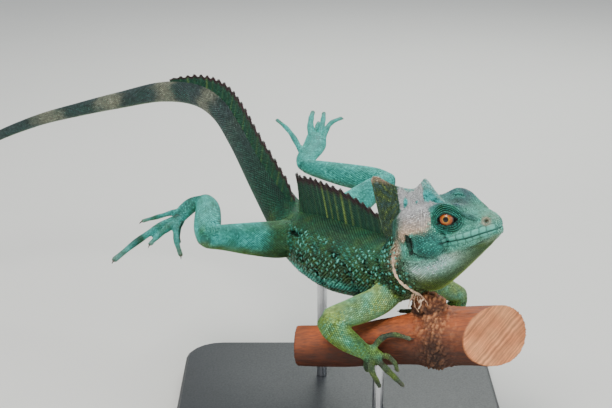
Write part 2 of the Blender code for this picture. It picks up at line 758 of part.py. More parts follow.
def make_log(finishes):
    sides = 18
    rings = []
    for place in steps(0, len(LOG_ROWS) - 1, 15):
        centre, axis, across, up = frame_at(LOG_ROWS, place, Vector((0, 0, 1)))
        radius = row_at(LOG_ROWS, place)[3] * MM
        collar = math.exp(-(((place - COLLAR_PLACE) / COLLAR_WIDTH) ** 2))
        ring = []
        for k in range(sides):
            angle = 2 * math.pi * k / sides
            wave = 0.5 * math.sin(2 * angle + place) + 0.35 * math.sin(3 * angle - 1.3 * place)
            lump = COLLAR_RISE * collar * (0.75 + 0.25 * math.sin(5 * angle + 1.0))
            size = radius + wave * MM + lump
            ring.append(centre + across * math.cos(angle) * size + up * math.sin(angle) * size)
        rings.append(ring)
    knob = ball(KNOB_CENTRE, (across, axis, up), [KNOB_RADIUS * s for s in (0.95, 1.15, 0.95)], 12, 8)
    log = fuse("log", [loft(rings), knob], finishes["wood"])
    # The saw cut at the near end slants towards the viewer.
    saw = bmesh.new()
    bmesh.ops.create_cube(saw, size=1.0)
    tangent = LOG_CUT_FACING.orthogonal().normalized()
    other = LOG_CUT_FACING.cross(tangent)
    for vert in saw.verts:
        x, y, z = vert.co * 0.12
        vert.co = LOG_CUT + tangent * x + other * y + LOG_CUT_FACING * (z + 0.06)
    face_outward(saw)
    apply_boolean(log, "DIFFERENCE", [new_object("saw", saw, finishes["wood"])])
    return log


def make_rod(name, foot_xy, top, finishes):
    centre = Vector((*foot_xy, 0))
    rings = []
    for height in (BASE_THICKNESS + GAP, top):
        rings.append([centre + Vector((math.cos(a) * ROD_RADIUS, math.sin(a) * ROD_RADIUS, height))
                      for a in (2 * math.pi * k / 16 for k in range(16))])
    return new_object(name, loft(rings), finishes["steel"])


def make_base(finishes):
    corners = []
    for sign_x, sign_y, start in ((1, 1, 0), (-1, 1, 90), (-1, -1, 180), (1, -1, 270)):
        for turn in steps(start, start + 90, 6):
            angle = math.radians(turn)
            corners.append(Vector((
                sign_x * (BASE_LENGTH / 2 - BASE_CORNER) + math.cos(angle) * BASE_CORNER,
                sign_y * (BASE_DEPTH / 2 - BASE_CORNER) + math.sin(angle) * BASE_CORNER, 0)))
    rings = []
    edge = 2 * MM
    for height, inset in ((0, 0), (BASE_THICKNESS - edge, 0), (BASE_THICKNESS, edge)):
        shrink_x = 1 - inset / (BASE_LENGTH / 2)
        shrink_y = 1 - inset / (BASE_DEPTH / 2)
        rings.append([Vector((p.x * shrink_x, p.y * shrink_y, height)) for p in corners])
    return new_object("stand_base", loft(rings), finishes["stand"])


def main():
    clear_scene()
    finishes = {
        "skin": material("green skin", (0.10, 0.30, 0.22), 0.55),
        "throat": material("pale throat skin", (0.42, 0.52, 0.34), 0.55),
        "crest": material("dark crest skin", (0.05, 0.12, 0.09), 0.6),
        "eye": material("orange eye", (0.85, 0.32, 0.03), 0.1),
        "wood": material("peeled log", (0.45, 0.20, 0.10), 0.7),
        "stand": material("dark stand", (0.03, 0.03, 0.03), 0.5),
        "steel": material("steel rod", (0.6, 0.6, 0.6), 0.3, 1.0),
    }
    log = make_log(finishes)
    body = make_body(finishes)
    head, eyes = make_head(finishes)
    jaw = make_jaw(finishes)
    throat = make_throat(finishes)
    trunk = [body["neck"], body["chest"], body["belly"], body["hips"]]
    cut_clear(body["chest"], log)
    cut_clear(throat, head, jaw, body["chest"], log)
    cut_clear(body["neck"], head, jaw, throat, body["chest"], log)
    crests = [
        make_head_crest("head_crest_front", HEAD_CREST_ROWS[0][0], HEAD_CREST_PARTING, 7, finishes),
        make_head_crest("head_crest_rear", HEAD_CREST_PARTING, HEAD_CREST_ROWS[-1][0], 10, finishes),
    ]
    for crest in crests:
        cut_clear(crest, head, body["neck"])
    sail = make_sail("back_sail", SAIL_ROWS, SAIL_RAYS, SAIL_LEAN, 0, 99, finishes)
    cut_clear(sail, head, crests[1], *trunk)
    for name, first, last, roots in (
        ("tail_sail_1", 0, 8.985, ("hips", "tail_1", "tail_2")),
        ("tail_sail_2", 8.985, 99, ("tail_1", "tail_2", "tail_3")),
    ):
        tail_sail = make_sail(name, TAIL_SAIL_ROWS, TAIL_SAIL_RAYS, TAIL_SAIL_LEAN, first, last, finishes)
        cut_clear(tail_sail, *[body[root] for root in roots])
    limbs = {name: make_limb(name, rows, finishes) for name, rows in LIMBS.items()}
    feet = {name: make_foot(name, plan, finishes) for name, plan in FEET.items()}
    for side in ("R", "L"):
        cut_clear(limbs["upper_arm_" + side], body["chest"], body["belly"], body["neck"], throat, log)
        cut_clear(limbs["forearm_" + side], limbs["upper_arm_" + side], log)
        cut_clear(feet["hand_" + side], limbs["forearm_" + side], log)
        cut_clear(limbs["thigh_" + side], body["hips"], body["belly"])
        cut_clear(limbs["shin_" + side], limbs["thigh_" + side])
        cut_clear(feet["foot_" + side], limbs["shin_" + side])
    make_base(finishes)
    spot = row_at(LOG_ROWS, LOG_ROD_PLACE)
    log_rod = make_rod("stand_rod_log", (spot[0] * MM, spot[1] * MM), spot[2] * MM, finishes)
    cut_clear(log_rod, log)
    spot = row_at(BODY_ROWS, BODY_ROD_ROW)
    body_rod = make_rod("stand_rod_body", (spot[0] * MM, spot[1] * MM), spot[2] * MM, finishes)
    cut_clear(body_rod, body["belly"])
    for obj in bpy.context.scene.objects:
        smooth(obj)


main()
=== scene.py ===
"""A male green basilisk lying over the end of a cut log: its skin, scales, crests, eyes, claws, log and stage."""

import math
from types import SimpleNamespace

import bmesh
import bpy
import numpy as np
from mathutils import Color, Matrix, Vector
from mathutils.bvhtree import BVHTree
from mathutils.kdtree import KDTree


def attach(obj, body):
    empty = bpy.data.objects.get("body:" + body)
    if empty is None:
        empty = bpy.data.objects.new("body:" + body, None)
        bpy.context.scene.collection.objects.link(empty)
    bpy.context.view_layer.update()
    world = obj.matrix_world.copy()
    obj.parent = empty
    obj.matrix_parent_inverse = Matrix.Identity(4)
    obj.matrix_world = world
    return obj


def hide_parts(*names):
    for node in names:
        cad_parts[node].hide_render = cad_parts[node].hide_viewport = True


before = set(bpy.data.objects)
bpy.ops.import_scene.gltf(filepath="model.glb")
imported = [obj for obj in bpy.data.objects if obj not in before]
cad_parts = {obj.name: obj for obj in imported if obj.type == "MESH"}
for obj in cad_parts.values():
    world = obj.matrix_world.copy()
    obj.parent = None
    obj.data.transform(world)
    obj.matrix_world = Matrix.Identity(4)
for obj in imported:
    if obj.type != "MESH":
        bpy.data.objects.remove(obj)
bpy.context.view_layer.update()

bl_info = {
    "name": "Green basilisk on a log",
    "version": (1, 0, 0),
    "blender": (4, 5, 0),
    "location": "3D View > Sidebar > Basilisk",
    "description": "Builds the skin, scales, crests, eyes, claws, log and stage of a basilisk model",
    "category": "Object",
}

MM = 0.001
UP = (0, 0, 1)
# Distance in metres under which vertices are one.
WELD = 1e-7


def unit(vectors):
    return vectors / np.maximum(np.linalg.norm(vectors, axis=-1, keepdims=True), 1e-12)


# The head: the tip of the mouth in mm, and which way it points.
MOUTH_TIP = np.array((86.5, -74.0, 150.0))
HEAD_YAW = math.radians(28)
HEAD_PITCH = math.radians(16)

# Centre, half width, height above and depth below of the body and tail, in mm.
BODY_ROWS = (
    (49, -56, 145, 14.0, 13.0, 12.0),
    (42, -48.5, 132, 16.4, 14.6, 15.5),
    (37, -41, 118, 18.5, 15.5, 21.5),
    (22, -19, 111, 20.5, 17.0, 24.0),
    (3, 9, 107, 21.5, 17.5, 28.0),
    (-11, 31, 104, 19.5, 17.0, 26.5),
    (-23, 50, 102, 15.5, 15.5, 20.5),
    (-34, 67, 109, 12.2, 13.8, 13.8),
    (-49, 94, 125, 9.8, 11.8, 11.6),
    (-65, 128, 143, 8.4, 10.6, 10.0),
    (-80, 155, 156, 7.4, 9.4, 9.0),
    (-99, 177, 161, 6.6, 8.4, 8.0),
    (-126, 195, 158, 5.8, 7.3, 7.0),
    (-158, 206, 149, 5.0, 6.1, 5.9),
    (-189, 214, 140, 4.3, 5.1, 5.0),
    (-224, 216, 130, 3.6, 4.2, 4.2),
    (-261, 211, 115, 2.9, 3.4, 3.4),
    (-289, 197, 96, 2.3, 2.7, 2.7),
    (-305, 176, 72, 1.8, 2.1, 2.1),
    (-310, 153, 47, 1.3, 1.5, 1.5),
    (-305, 134, 26, 0.7, 0.8, 0.8),
)
# The row where the tail starts, and the height round a ring, from -1 to 1, where the belly does.
TAIL_START = 7.0
BELLY_EDGE = -0.62
# Rings of the body's grid: its stations, and the domes at both ends of it.
BODY_STATIONS = 420
DOME_RINGS = 5
BODY_GRID_LAST = BODY_STATIONS + 2 * DOME_RINGS - 1

# Folds of the flanks, as paths of rows of the body and angles below its middle, and how far those lie apart in mm.
BODY_FOLDS = (
    ((3.7, -0.35), (3.25, -0.12), (3.0, 0.25), (3.02, 0.95)), ((5.9, -0.5), (5.0, -0.42), (4.1, -0.28), (3.7, -0.35)),
    ((2.55, -0.25), (2.36, 0.2), (2.42, 0.8)), ((2.1, -0.5), (1.95, 0.1), (2.05, 0.9)),
    ((5.5, 0.15), (4.9, 0.1), (4.5, 0.3)), ((4.1, 0.35), (3.9, 0.75)),
)
FOLD_SPACING = (28, 21)

# Where the skin is smoothed more because limbs, neck and feet join there, and how far round, in mm.
JOINS = (((30, -42, 102), 13), ((46, -36, 107), 12), ((-26, 44, 103), 16), ((-15, 57, 103), 16), ((-8, -60.6, 90.4), 8),
         ((73, -17.6, 87), 7), ((-80.5, 7.4, 114.8), 8), ((35, 95.8, 121), 8), ((-85, 60.8, 119.6), 7),
         ((-20.6, 117.2, 125.8), 7), ((14, -66.7, 72.7), 6), ((54, -31.4, 74.1), 6), ((46, -52, 138), 20))

# Distance behind the mouth's tip, then the half widths and heights of the head, jaw and throat, in mm.
HEAD_ROWS = (
    (-0.6, 2.2, 2.9, 3.4, 2.2, 5.6, 6.4),
    (1.2, 4.6, 5.1, 3.8, 3.5, 7.4, 8.4),
    (5.0, 7.6, 7.9, 4.5, 5.1, 9.8, 10.6),
    (9.0, 9.4, 9.6, 5.0, 6.7, 11.6, 12.2),
    (12.0, 10.6, 10.8, 5.6, 8.2, 14.0, 13.8),
    (14.5, 11.5, 11.7, 6.0, 9.5, 16.8, 15.2),
    (17.5, 12.5, 12.5, 6.4, 10.8, 19.6, 16.6),
    (20.5, 13.4, 13.2, 6.8, 11.8, 20.4, 17.3),
    (25.0, 14.6, 14.0, 8.0, 12.4, 20.6, 18.2),
    (31.0, 16.0, 15.8, 9.0, 12.4, 19.4, 19.0),
    (37.0, 17.2, 17.6, 9.0, 12.0, 19.6, 20.8),
    (44.0, 17.8, 18.6, 8.0, 11.6, 18.6, 21.4),
    (51.0, 17.0, 17.8, 7.0, 11.0, 17.4, 20.4),
    (57.0, 14.4, 15.6, 7.0, 9.8, 15.4, 18.0),
    (61.5, 9.6, 11.0, 6.6, 7.0, 12.4, 13.6),
)
JAW_ROWS = (
    (-0.4, 1.6, 2.2), (2, 4.8, 4.0), (6, 7.6, 5.6), (12, 10.4, 7.6), (20, 13.0, 9.6),
    (30, 15.8, 12.0), (38, 17.6, 14.4), (46, 18.8, 15.4), (53, 17.0, 14.0), (58, 13.0, 10.0),
)
THROAT_ROWS = (
    (3, 2.6, 5.0), (8, 6.0, 8.6), (15, 9.0, 13.4), (23, 11.6, 18.8), (31, 13.6, 24.0),
    (39, 14.8, 28.6), (46, 15.0, 31.2), (53, 14.4, 30.0), (60, 12.6, 25.0), (66, 9.6, 17.0),
)
THROAT_TOP = 4.0
EYE_PLACE = np.array((25.0, 10.6, 12.2))
EYE_FACING = unit(np.array((-0.22, 0.96, 0.14)))
EYE_LEVEL = unit(np.array((-EYE_FACING[1], EYE_FACING[0], 0.0)))
EYE_UPRIGHT = np.cross(EYE_FACING, EYE_LEVEL)
EYE_RADIUS = 5.3
CORNEA_RADIUS = 3.9
PUPIL_BLACK = (0.002, 0.002, 0.003)
# The balls that the closed parts of the lids and the socket behind them follow.
LID_BALL = 5.95
SOCKET_BALL = 4.6
# Folds of the lids, as distances outside their opening, of which the last is their end.
LID_FOLDS = (0.75, 1.9, 3.1, 4.3, 5.4)
LID_END = LID_FOLDS[-1]
NOSTRIL_PLACE = np.array((4.6, 7.0, 7.2))
NOSTRIL_SIZE = (0.95, 2.6, 0.65)
EAR_PLACE = np.array((48.4, 18.6, 1.8))
EAR_SIZE = (2.6, 5.6)
JOWL_PLACE = np.array((38, 12.8, -1.5))
JOWL_SIZE = (9.6, 6.8, 8.2)
BROW_PATH = np.array(((8.5, 7.6, 9.2), (11.5, 8.9, 11.2), (14.5, 10, 13.6), (18.7, 11.3, 17.3), (22.5, 12.4, 19.8),
                      (27, 12.6, 20.6), (32, 12.8, 19.2), (37, 12.4, 17.8)))
# How far the left brow stands above the right one, because the head is rolled a little towards the viewer.
BROW_ROLL = 1.2
LIP_PATH = np.array(((1.6, 3.9, 2.4), (5, 7, 2.4), (12, 10.2, 2.4), (20, 12.9, 2.4), (28, 15.2, 2.4), (36, 16.6, 2.4)))
# Half width of the ridges along those two paths.
RIDGE_SIZE = 1.7
# How far back the lips' plates reach, and how many there are in a row.
LIP_END = 29.0
LIP_PLATES = 7
HEAD_CREST_ROWS = (
    (30, 20, 16, 2.5), (33.5, 25.5, 16, 4.5), (37.5, 33.6, 16, 6), (41.5, 31.4, 15, 7), (46, 29, 14, 8),
    (51, 29.6, 12, 8), (57, 32.2, 9, 6.6), (63, 35.8, 5, 4.6), (69, 39, 3, 2.6), (71.5, 37.6, 8, 1),
)

# The ribbon of dry skin behind the mouth's tip, and the flakes at its end: their paths and half widths, in mm.
SHED_RIBBON = ((61.4, 14.2, -5.0), (62.9, 14.0, -9.7), (62.9, 14.2, -14.4), (62.0, 13.4, -19.6), (59.5, 11.0, -24.6),
               (57.2, 7.2, -29.4), (54.5, 5.0, -32.6))
SHED_FLAKES = (
    ((42, -59, 104.5), (41, -63, 101), (43.5, -65.5, 97), 1.5),
    ((44, -59, 104), (45, -63.5, 101.5), (43, -67, 99.5), 1.2),
    ((41, -58.5, 104.5), (38.8, -62, 102.5), (37.6, -64, 98.6), 1.3),
    ((45, -58.5, 103.5), (47.4, -63, 103), (48.6, -66, 101), 1.1),
    ((43, -59.5, 104), (43.4, -65, 103), (45.8, -67, 105.4), 1.0),
)

# The body's row and the height of its sails, in mm.
SAIL_ROWS = ((1.9, 2), (2.4, 8), (3, 14), (3.8, 18.5), (4.7, 21), (5.5, 22), (6.15, 21.5))
TAIL_SAIL_ROWS = ((6.75, 3), (7.2, 9), (8, 12.5), (9, 12.5), (10, 9.5), (11, 5), (11.7, 1.5))
# Rings from one ray of a sail to the next, and points from its root to its edge.
RAY_STATIONS = 10
SAIL_LAYERS = 22

# Centre, half width and half thickness of the limbs, in mm. R is the side nearer the camera.
LIMBS = {
    "upper_arm_R": ((30, -42, 102, 8.4, 9.4), (22, -50, 97.5, 7.6, 8.8), (8, -58, 94.4, 7.2, 8.2),
                    (-6.5, -61, 91.2, 5.8, 6.4)),
    "forearm_R": ((-9.5, -60.6, 89.6, 5.2, 5.4), (-5, -62.6, 85.8, 7, 7), (3, -64.6, 79.6, 6.8, 6.6),
                  (10.3, -66, 74.8, 5.8, 5), (14, -66.8, 72.6, 5.4, 4.2)),
    "upper_arm_L": ((46, -36, 107, 8.4, 9.2), (56, -30, 99, 7, 7.6), (65, -23, 92.5, 5.8, 6.2),
                    (72.5, -18, 87.6, 4.8, 5)),
    "forearm_L": ((73, -17.5, 86.6, 4.4, 4.6), (70, -20, 81.5, 5.4, 5.4), (65, -24, 77.5, 5.2, 5),
                  (59, -29, 75.5, 4.4, 4.2), (54, -31.5, 74, 4.2, 3.6)),
    "thigh_R": ((-25, 45, 102, 10, 12), (-37, 37, 102.5, 10.2, 12), (-54, 26, 107, 9, 10.4),
                (-70, 15, 112, 7.4, 8.2), (-80, 8, 114.5, 6.4, 7)),
    "shin_R": ((-81, 6.5, 115, 6, 6.4), (-81, 18, 116.5, 8.2, 8.4), (-81.5, 32, 118, 8.4, 8.6),
               (-82.5, 48, 119.2, 7.6, 7.4), (-85, 60.5, 119.8, 5.6, 5.2)),
    "thigh_L": ((-16, 56, 102, 10, 12), (-5, 65, 105, 10.2, 12), (10, 77, 111, 9, 10.4),
                (24, 88, 118, 7.4, 8.2), (34, 95.5, 121, 6.4, 7)),
    "shin_L": ((36, 96, 121, 6, 6.4), (26, 100, 121.5, 8.2, 8.4), (8, 107, 122.5, 7.8, 8),
               (-10, 113.5, 124.5, 6.2, 6.2), (-20, 117, 125.8, 5.2, 4.8)),
}

# Each hand and foot: its palm, which way its back faces, and its digits' joints and root half widths.
FEET = {
    "hand_R": (
        ((13.6, -66.6, 72.8, 5.2, 3.6), (17.2, -67.6, 71.4, 6.4, 3.2), (20.6, -68.6, 70.2, 5.4, 2.6)),
        (0.1, -0.95, -0.3),
        (((17.5, -66.6, 74), (22.8, -65.8, 81), (30, -67, 83.8), (38.4, -68.8, 82.2), 2.2),
         ((20, -68, 71.5), (26, -70.4, 72), (30, -71.4, 68.6), (32, -70, 63), 2.0),
         ((19.5, -68.4, 70), (26, -71.6, 64), (31, -72.3, 59), (35.2, -70.4, 53.8), 2.2),
         ((16, -67.8, 69.6), (17.5, -71, 62.8), (20.4, -71, 56.8), (22, -68, 52), 2.1),
         ((15, -65.8, 70), (14, -66.4, 64.6), (15, -61.6, 59.4), (16.6, -55, 55.6), 1.8))),
    "hand_L": (
        ((54.5, -31.2, 74.2, 4, 3.2), (50.5, -33, 72.6, 5.2, 3), (47.5, -34.2, 71.6, 4.2, 2.4)),
        (0, 0.95, -0.3),
        (((51, -32.5, 74.6), (47, -31.2, 80.4), (41.5, -33.4, 83.4), (35.6, -34.6, 84.2), 2.2),
         ((50, -32.8, 73), (42.5, -30.8, 75), (36, -30.4, 74.4), (29.4, -30.6, 72), 2.1),
         ((50, -33, 72), (42.5, -32, 68.5), (36.5, -33, 63.6), (32.5, -35.8, 59), 2.2),
         ((51, -33, 71.5), (48, -32.8, 65), (45.6, -35, 59.6), (44, -38.6, 56.4), 2.1),
         ((52.5, -32.4, 71.5), (55.6, -33.6, 66.5), (57, -37, 62.4), (57, -41, 60), 1.8))),
    "foot_R": (
        ((-86, 61.5, 119.4, 5, 4.4), (-92, 60.6, 118.6, 5.6, 3.6), (-97.2, 54.5, 116, 5.6, 3.2),
         (-101, 49, 113, 4.8, 2.6)),
        (0.2, -0.1, 1),
        (((-97, 59, 112), (-100.5, 54, 107.5), (-102, 48, 102.2), (-101, 44, 98), 2.1),
         ((-98.8, 51, 114.2), (-101.9, 38.5, 110.6), (-100.6, 22.5, 107), (-97, 9.5, 102.6), 2.5),
         ((-100.2, 46.5, 112.6), (-107, 33, 111), (-112.4, 23, 109.4), (-116, 15, 107.6), 2.4),
         ((-100.8, 50, 112.8), (-111.7, 33, 112.6), (-123.8, 13, 110), (-135, -8.5, 106.4), 2.9),
         ((-98, 55.3, 116.2), (-106.3, 52.6, 114.7), (-115, 48, 113.5), (-123.6, 43.8, 112.4), 2.2))),
    "foot_L": (
        ((-21.5, 117.5, 126, 5, 4), (-20, 127, 128.4, 6.8, 3.8), (-14.3, 146, 131.2, 8.2, 3.4),
         (-12.6, 163, 133.8, 7, 2.8)),
        (0, -0.25, 1),
        (((-22, 131.7, 129.2), (-28.4, 152.8, 135.3), (-33.9, 169.5, 137.9), (-40.8, 180.8, 140.8), 2.3),
         ((-16, 158, 133), (-16.8, 176.7, 137.1), (-16.2, 189, 139.9), (-15, 199.6, 141.4), 2.8),
         ((-12.6, 159, 131.8), (-12.3, 178, 133.6), (-11.6, 189, 134.4), (-10.9, 198, 134), 2.3),
         ((-10.8, 158, 133), (-8.7, 176.7, 137.1), (-7.4, 189, 139.3), (-6.8, 199.4, 140.7), 2.6),
         ((-8.5, 153, 133), (-5.4, 168, 137.5), (-1.2, 178, 140), (5.6, 185, 141), 2.4))),
}
DIGIT_TIP = 0.62
CLAW_LENGTH = 3.6
CLAW_BEND = 1.15

# The log: centres and radii in mm, its slanting saw cut, its collar of bark and its knob.
LOG_ROWS = (
    (124, -67.4, 83.5, 17.8), (93.4, -62, 80.5, 17.6), (58, -56, 77.5, 16.6), (30, -51, 72.6, 14),
    (12.6, -48, 69.2, 12.4), (-6, -44.5, 66.4, 11.6), (-25, -41, 64.5, 11.2),
)
LOG_CUT = np.array((88.8, -61.2, 80.0))
LOG_CUT_FACING = unit(np.array((0.585, -0.765, 0.27)))
SAW_WAY = unit(np.cross(LOG_CUT_FACING, (1.0, 1.01, 0.71)))
COLLAR_PLACE = 2.1
COLLAR_WIDTH = 0.24
COLLAR_RISE = 2.4
KNOB_PLACE = np.array((51.0, -52.0, 94.0))
KNOB_SIZE = (8.6, 10.4, 8.6)

# Scales: the girth of the head in mm, how far rows lie apart in widths of a scale, the body's patch of the OFBake map
# as left, bottom, width and height, the size of one scale's patch, and the pale green of the brightest dashes.
HEAD_GIRTH = 96
ROW_SPACING = 0.87
BODY_PATCH = (0.01, 0.01, 0.6, 0.3)
PATCH_SIZE = 0.0014
DASH_PALE = np.array((0.45, 0.75, 0.62))

# The camera's place in metres and how many degrees it looks down, and where the lights point.
CAMERA_PLACE = (-0.020, -0.770, 0.404)
CAMERA_DIP = 19
LIGHTS_AIM = Vector((0, 0, 0.1))

FLESH = ("head", "lower_jaw", "throat", "neck", "chest", "belly", "hips", "tail_1", "tail_2", "tail_3",
         "tail_4", "tail_5", *LIMBS, *FEET)


def paint(code):
    """A linear colour from six hexadecimal figures."""
    shares = [int(code[i:i + 2], 16) / 255 for i in (0, 2, 4)]
    return tuple(s / 12.92 if s < 0.04 else ((s + 0.055) / 1.055) ** 2.4 for s in shares)


def colour_setting(name, description, code):
    return bpy.props.FloatVectorProperty(
        name=name, description=description, default=paint(code), size=3, min=0, max=1, subtype="COLOR")


def length_setting(name, description, millimetres):
    return bpy.props.FloatProperty(
        name=name, description=description, default=millimetres * MM, min=0, unit="LENGTH", precision=5)


class BasiliskSkinSettings(bpy.types.PropertyGroup):
    grain: length_setting("Grain", "Size of the squares that the skin is rebuilt from", 0.85)
    inset: length_setting("Inset", "How far the skin lies under the tops of the scales", 0.22)
    kept: bpy.props.FloatProperty(
        name="Kept", description="Share of the rebuilt triangles that stay", default=0.36, min=0.1, max=1)
    turquoise: colour_setting("Turquoise", "Bright scales of the head, legs and flank", "4ccab4")
    green: colour_setting("Green", "Ground of the head and trunk", "2f7d55")
    dark: colour_setting("Dark", "Shaded green of the back and the folds", "12382c")
    olive: colour_setting("Olive", "Yellowish green of the arms and underside", "86a032")
    throat: colour_setting("Throat", "Pale scales of the throat", "cbe6d8")
    jowl: colour_setting("Jowl", "Deep teal of the jowl", "1f6a62")
    brow: colour_setting("Brow", "Grey blue of the brows and snout", "6c97a4")
    shed: colour_setting("Shed skin", "Dry skin that is coming away behind the eye", "e2c0a2")
    band: colour_setting("Band", "Pale bands of the tail", "9c9c84")


class BasiliskScaleSettings(bpy.types.PropertyGroup):
    head_pitch: length_setting("Head scales", "Distance between scales on the head", 1.05)
    limb_pitch: length_setting("Limb scales", "Distance between scales on the limbs", 1.35)
    digit_pitch: length_setting("Digit scales", "Distance between scales on fingers and toes", 1.1)
    rise: bpy.props.FloatProperty(
        name="Rise", description="Height of a scale as a share of its width", default=0.3, min=0.05, max=1)


class BasiliskEyeSettings(bpy.types.PropertyGroup):
    iris_radius: length_setting("Iris", "Radius of the orange iris", 3.75)
    pupil_radius: length_setting("Pupil", "Radius of the pupil", 1.55)
    iris: colour_setting("Iris", "Orange of the iris", "b45400")
    iris_glow: colour_setting("Inner iris", "Yellow next to the pupil", "d69408")


class BasiliskCrestSettings(bpy.types.PropertyGroup):
    membrane: colour_setting("Membrane", "Skin between the rays of the sails", "2f5b49")
    ray: colour_setting("Rays", "Yellow green of the lit rays", "a9c45c")
    edge: colour_setting("Edge", "Maroon teeth along the edge", "46222c")
    flap: colour_setting("Flap", "Rear flap of the head crest", "40543a")


class BasiliskClawSettings(bpy.types.PropertyGroup):
    length: length_setting("Length", "Length of a claw beyond its digit", CLAW_LENGTH)
    horn: colour_setting("Horn", "Dark horn of the claws", "3a2a20")


class BasiliskLogSettings(bpy.types.PropertyGroup):
    grain: length_setting("Grain", "Size of the squares that the log is rebuilt from", 0.62)
    wood: colour_setting("Wood", "Peeled side of the log", "a85226")
    cut: colour_setting("Cut", "Sawn end of the log", "de9664")
    bark: colour_setting("Bark", "Crumbling bark of the collar", "a35a32")


class BasiliskStageSettings(bpy.types.PropertyGroup):
    floor: colour_setting("Floor", "Pale floor", "e6e4df")
    stand: colour_setting("Stand", "Painted base of the stand", "23262a")
    lens: bpy.props.FloatProperty(name="Lens", description="Focal length in mm", default=80, min=10)
    key: bpy.props.FloatProperty(name="Key light", description="Power of the main light", default=15.5, min=0,
                                 unit="POWER")


# Tables and paths.

def curve_between(before, start, end, after, t, pull=0.5):
    """Smooth values from start to end, which also heed the values before and after."""
    m0, m1 = (end - before) * pull, (after - start) * pull
    return ((2 * t**3 - 3 * t**2 + 1) * start + (t**3 - 2 * t**2 + t) * m0
            + (-2 * t**3 + 3 * t**2) * end + (t**3 - t**2) * m1)


def rows_at(rows, places):
    """The numbers of a table at places between its rows, on smooth curves through them."""
    rows = np.asarray(rows, float)
    places = np.atleast_1d(np.asarray(places, float))
    last = len(rows) - 1
    i = np.clip(places.astype(int), 0, last - 1)
    return curve_between(rows[np.maximum(i - 1, 0)], rows[i], rows[i + 1], rows[np.minimum(i + 2, last)],
                         (places - i)[:, None])


def values_at(rows, x):
    """The other numbers of a table whose first column rises, at each x."""
    rows = np.asarray(rows, float)
    x = np.atleast_1d(np.asarray(x, float))
    i = np.clip(np.searchsorted(rows[:, 0], x, side="right") - 1, 0, len(rows) - 2)
    t = np.clip((x - rows[i, 0]) / (rows[i + 1, 0] - rows[i, 0]), 0, 1)
    return rows_at(rows[:, 1:], i + t)


def spread(rows, count):
    """Places at even distances from the first row of a table to the last."""
    return np.linspace(0, len(rows) - 1, count)


def spread_values(rows, count):
    """Even steps through the first column of a table, and its other columns there."""
    x = np.linspace(rows[0][0], rows[-1][0], count)
    return x, values_at(rows, x).T


def frames_at(rows, places, hint):
    """Centres, forwards, sides and ups along a path of rows, whose first three numbers are a place."""
    last = len(rows) - 1
    places = np.atleast_1d(np.asarray(places, float))
    centre = rows_at(rows, places)[:, :3]
    forward = unit(rows_at(rows, np.minimum(places + 0.02, last))[:, :3]
                   - rows_at(rows, np.maximum(places - 0.02, 0))[:, :3])
    side = unit(np.cross(forward, np.asarray(hint, float)))
    return centre, forward, side, unit(np.cross(side, forward))


def head_axes():
    """Back along the head, out to its right and up, as the rows of a matrix."""
    level = math.cos(HEAD_PITCH)
    ahead = np.array((math.cos(HEAD_YAW) * level, -math.sin(HEAD_YAW) * level, math.sin(HEAD_PITCH)))
    right = np.array((-math.sin(HEAD_YAW), -math.cos(HEAD_YAW), 0.0))
    return np.array((-ahead, right, np.cross(right, ahead)))


HEAD_AXES = head_axes()


def on_head(places):
    """Points in mm from distances behind the mouth's tip, out to the right and up."""
    return MOUTH_TIP + np.asarray(places, float) @ HEAD_AXES


def from_head(points):
    """Distances behind the mouth's tip, out to the right and up, of points in mm."""
    return (points - MOUTH_TIP) @ HEAD_AXES.T


def smooth_step(low, high, x):
    t = np.clip((x - low) / (high - low), 0, 1)
    return t * t * (3 - 2 * t)


def window(x, start, full, fade, end):
    """1 where x lies between full and fade, running out to 0 at start and end."""
    return smooth_step(start, full, x) * (1 - smooth_step(fade, end, x))


def bump_at(x, centre, width):
    return np.exp(-(((x - centre) / width) ** 2))


def ripple(points, size, seed):
    """A smooth random field of about -1 to 1, whose lumps are of that size in mm."""
    draw = np.random.default_rng(seed)
    total = np.zeros(len(points))
    for _ in range(6):
        way = unit(draw.normal(size=3))
        total += np.sin(points @ way * (2 * math.pi / size) * draw.uniform(0.6, 1.5) + draw.uniform(0, 6.28))
    return total / 2.6


# Surfaces as grids of points, one ring a station.

def turns(sides, shift=0.0):
    """Angles at even steps round a ring."""
    return (np.arange(sides) + shift) * 2 * math.pi / sides


def rings_round(centre, side, up, across, rise):
    """A ring of points round each centre, from distances to the side and up."""
    return centre[:, None] + side[:, None] * across[..., None] + up[:, None] * rise[..., None]


def tube_grid(rows, count, sides, hint):
    """Rings round a path. Rows give half width, then half thickness or height above and depth below."""
    places = spread(rows, count)
    values = rows_at(rows, places)
    centre, _, side, up = frames_at(rows, places, hint)
    angle = turns(sides)
    top = values[:, 4:5]
    bottom = values[:, 5:6] if values.shape[1] > 5 else top
    rise = np.where(np.sin(angle) > 0, top, bottom) * np.sin(angle)
    return rings_round(centre, side, up, values[:, 3:4] * np.cos(angle), rise)


def rounded_ends(grid, starts=True, reach=0.5):
    """Adds a dome of rings to the end of a grid, and to its start unless told otherwise."""
    def dome(ring, before):
        centre = ring.mean(axis=0)
        way = unit(centre - before.mean(axis=0))
        size = np.linalg.norm(ring - centre, axis=1).mean() * reach
        return [centre + (ring - centre) * math.cos(a) + way * size * math.sin(a)
                for a in np.linspace(0.3, 1.5, DOME_RINGS)]
    rings = [*grid, *dome(grid[-1], grid[-2])]
    if starts:
        rings = dome(grid[0], grid[1])[::-1] + rings
    return np.array(rings)


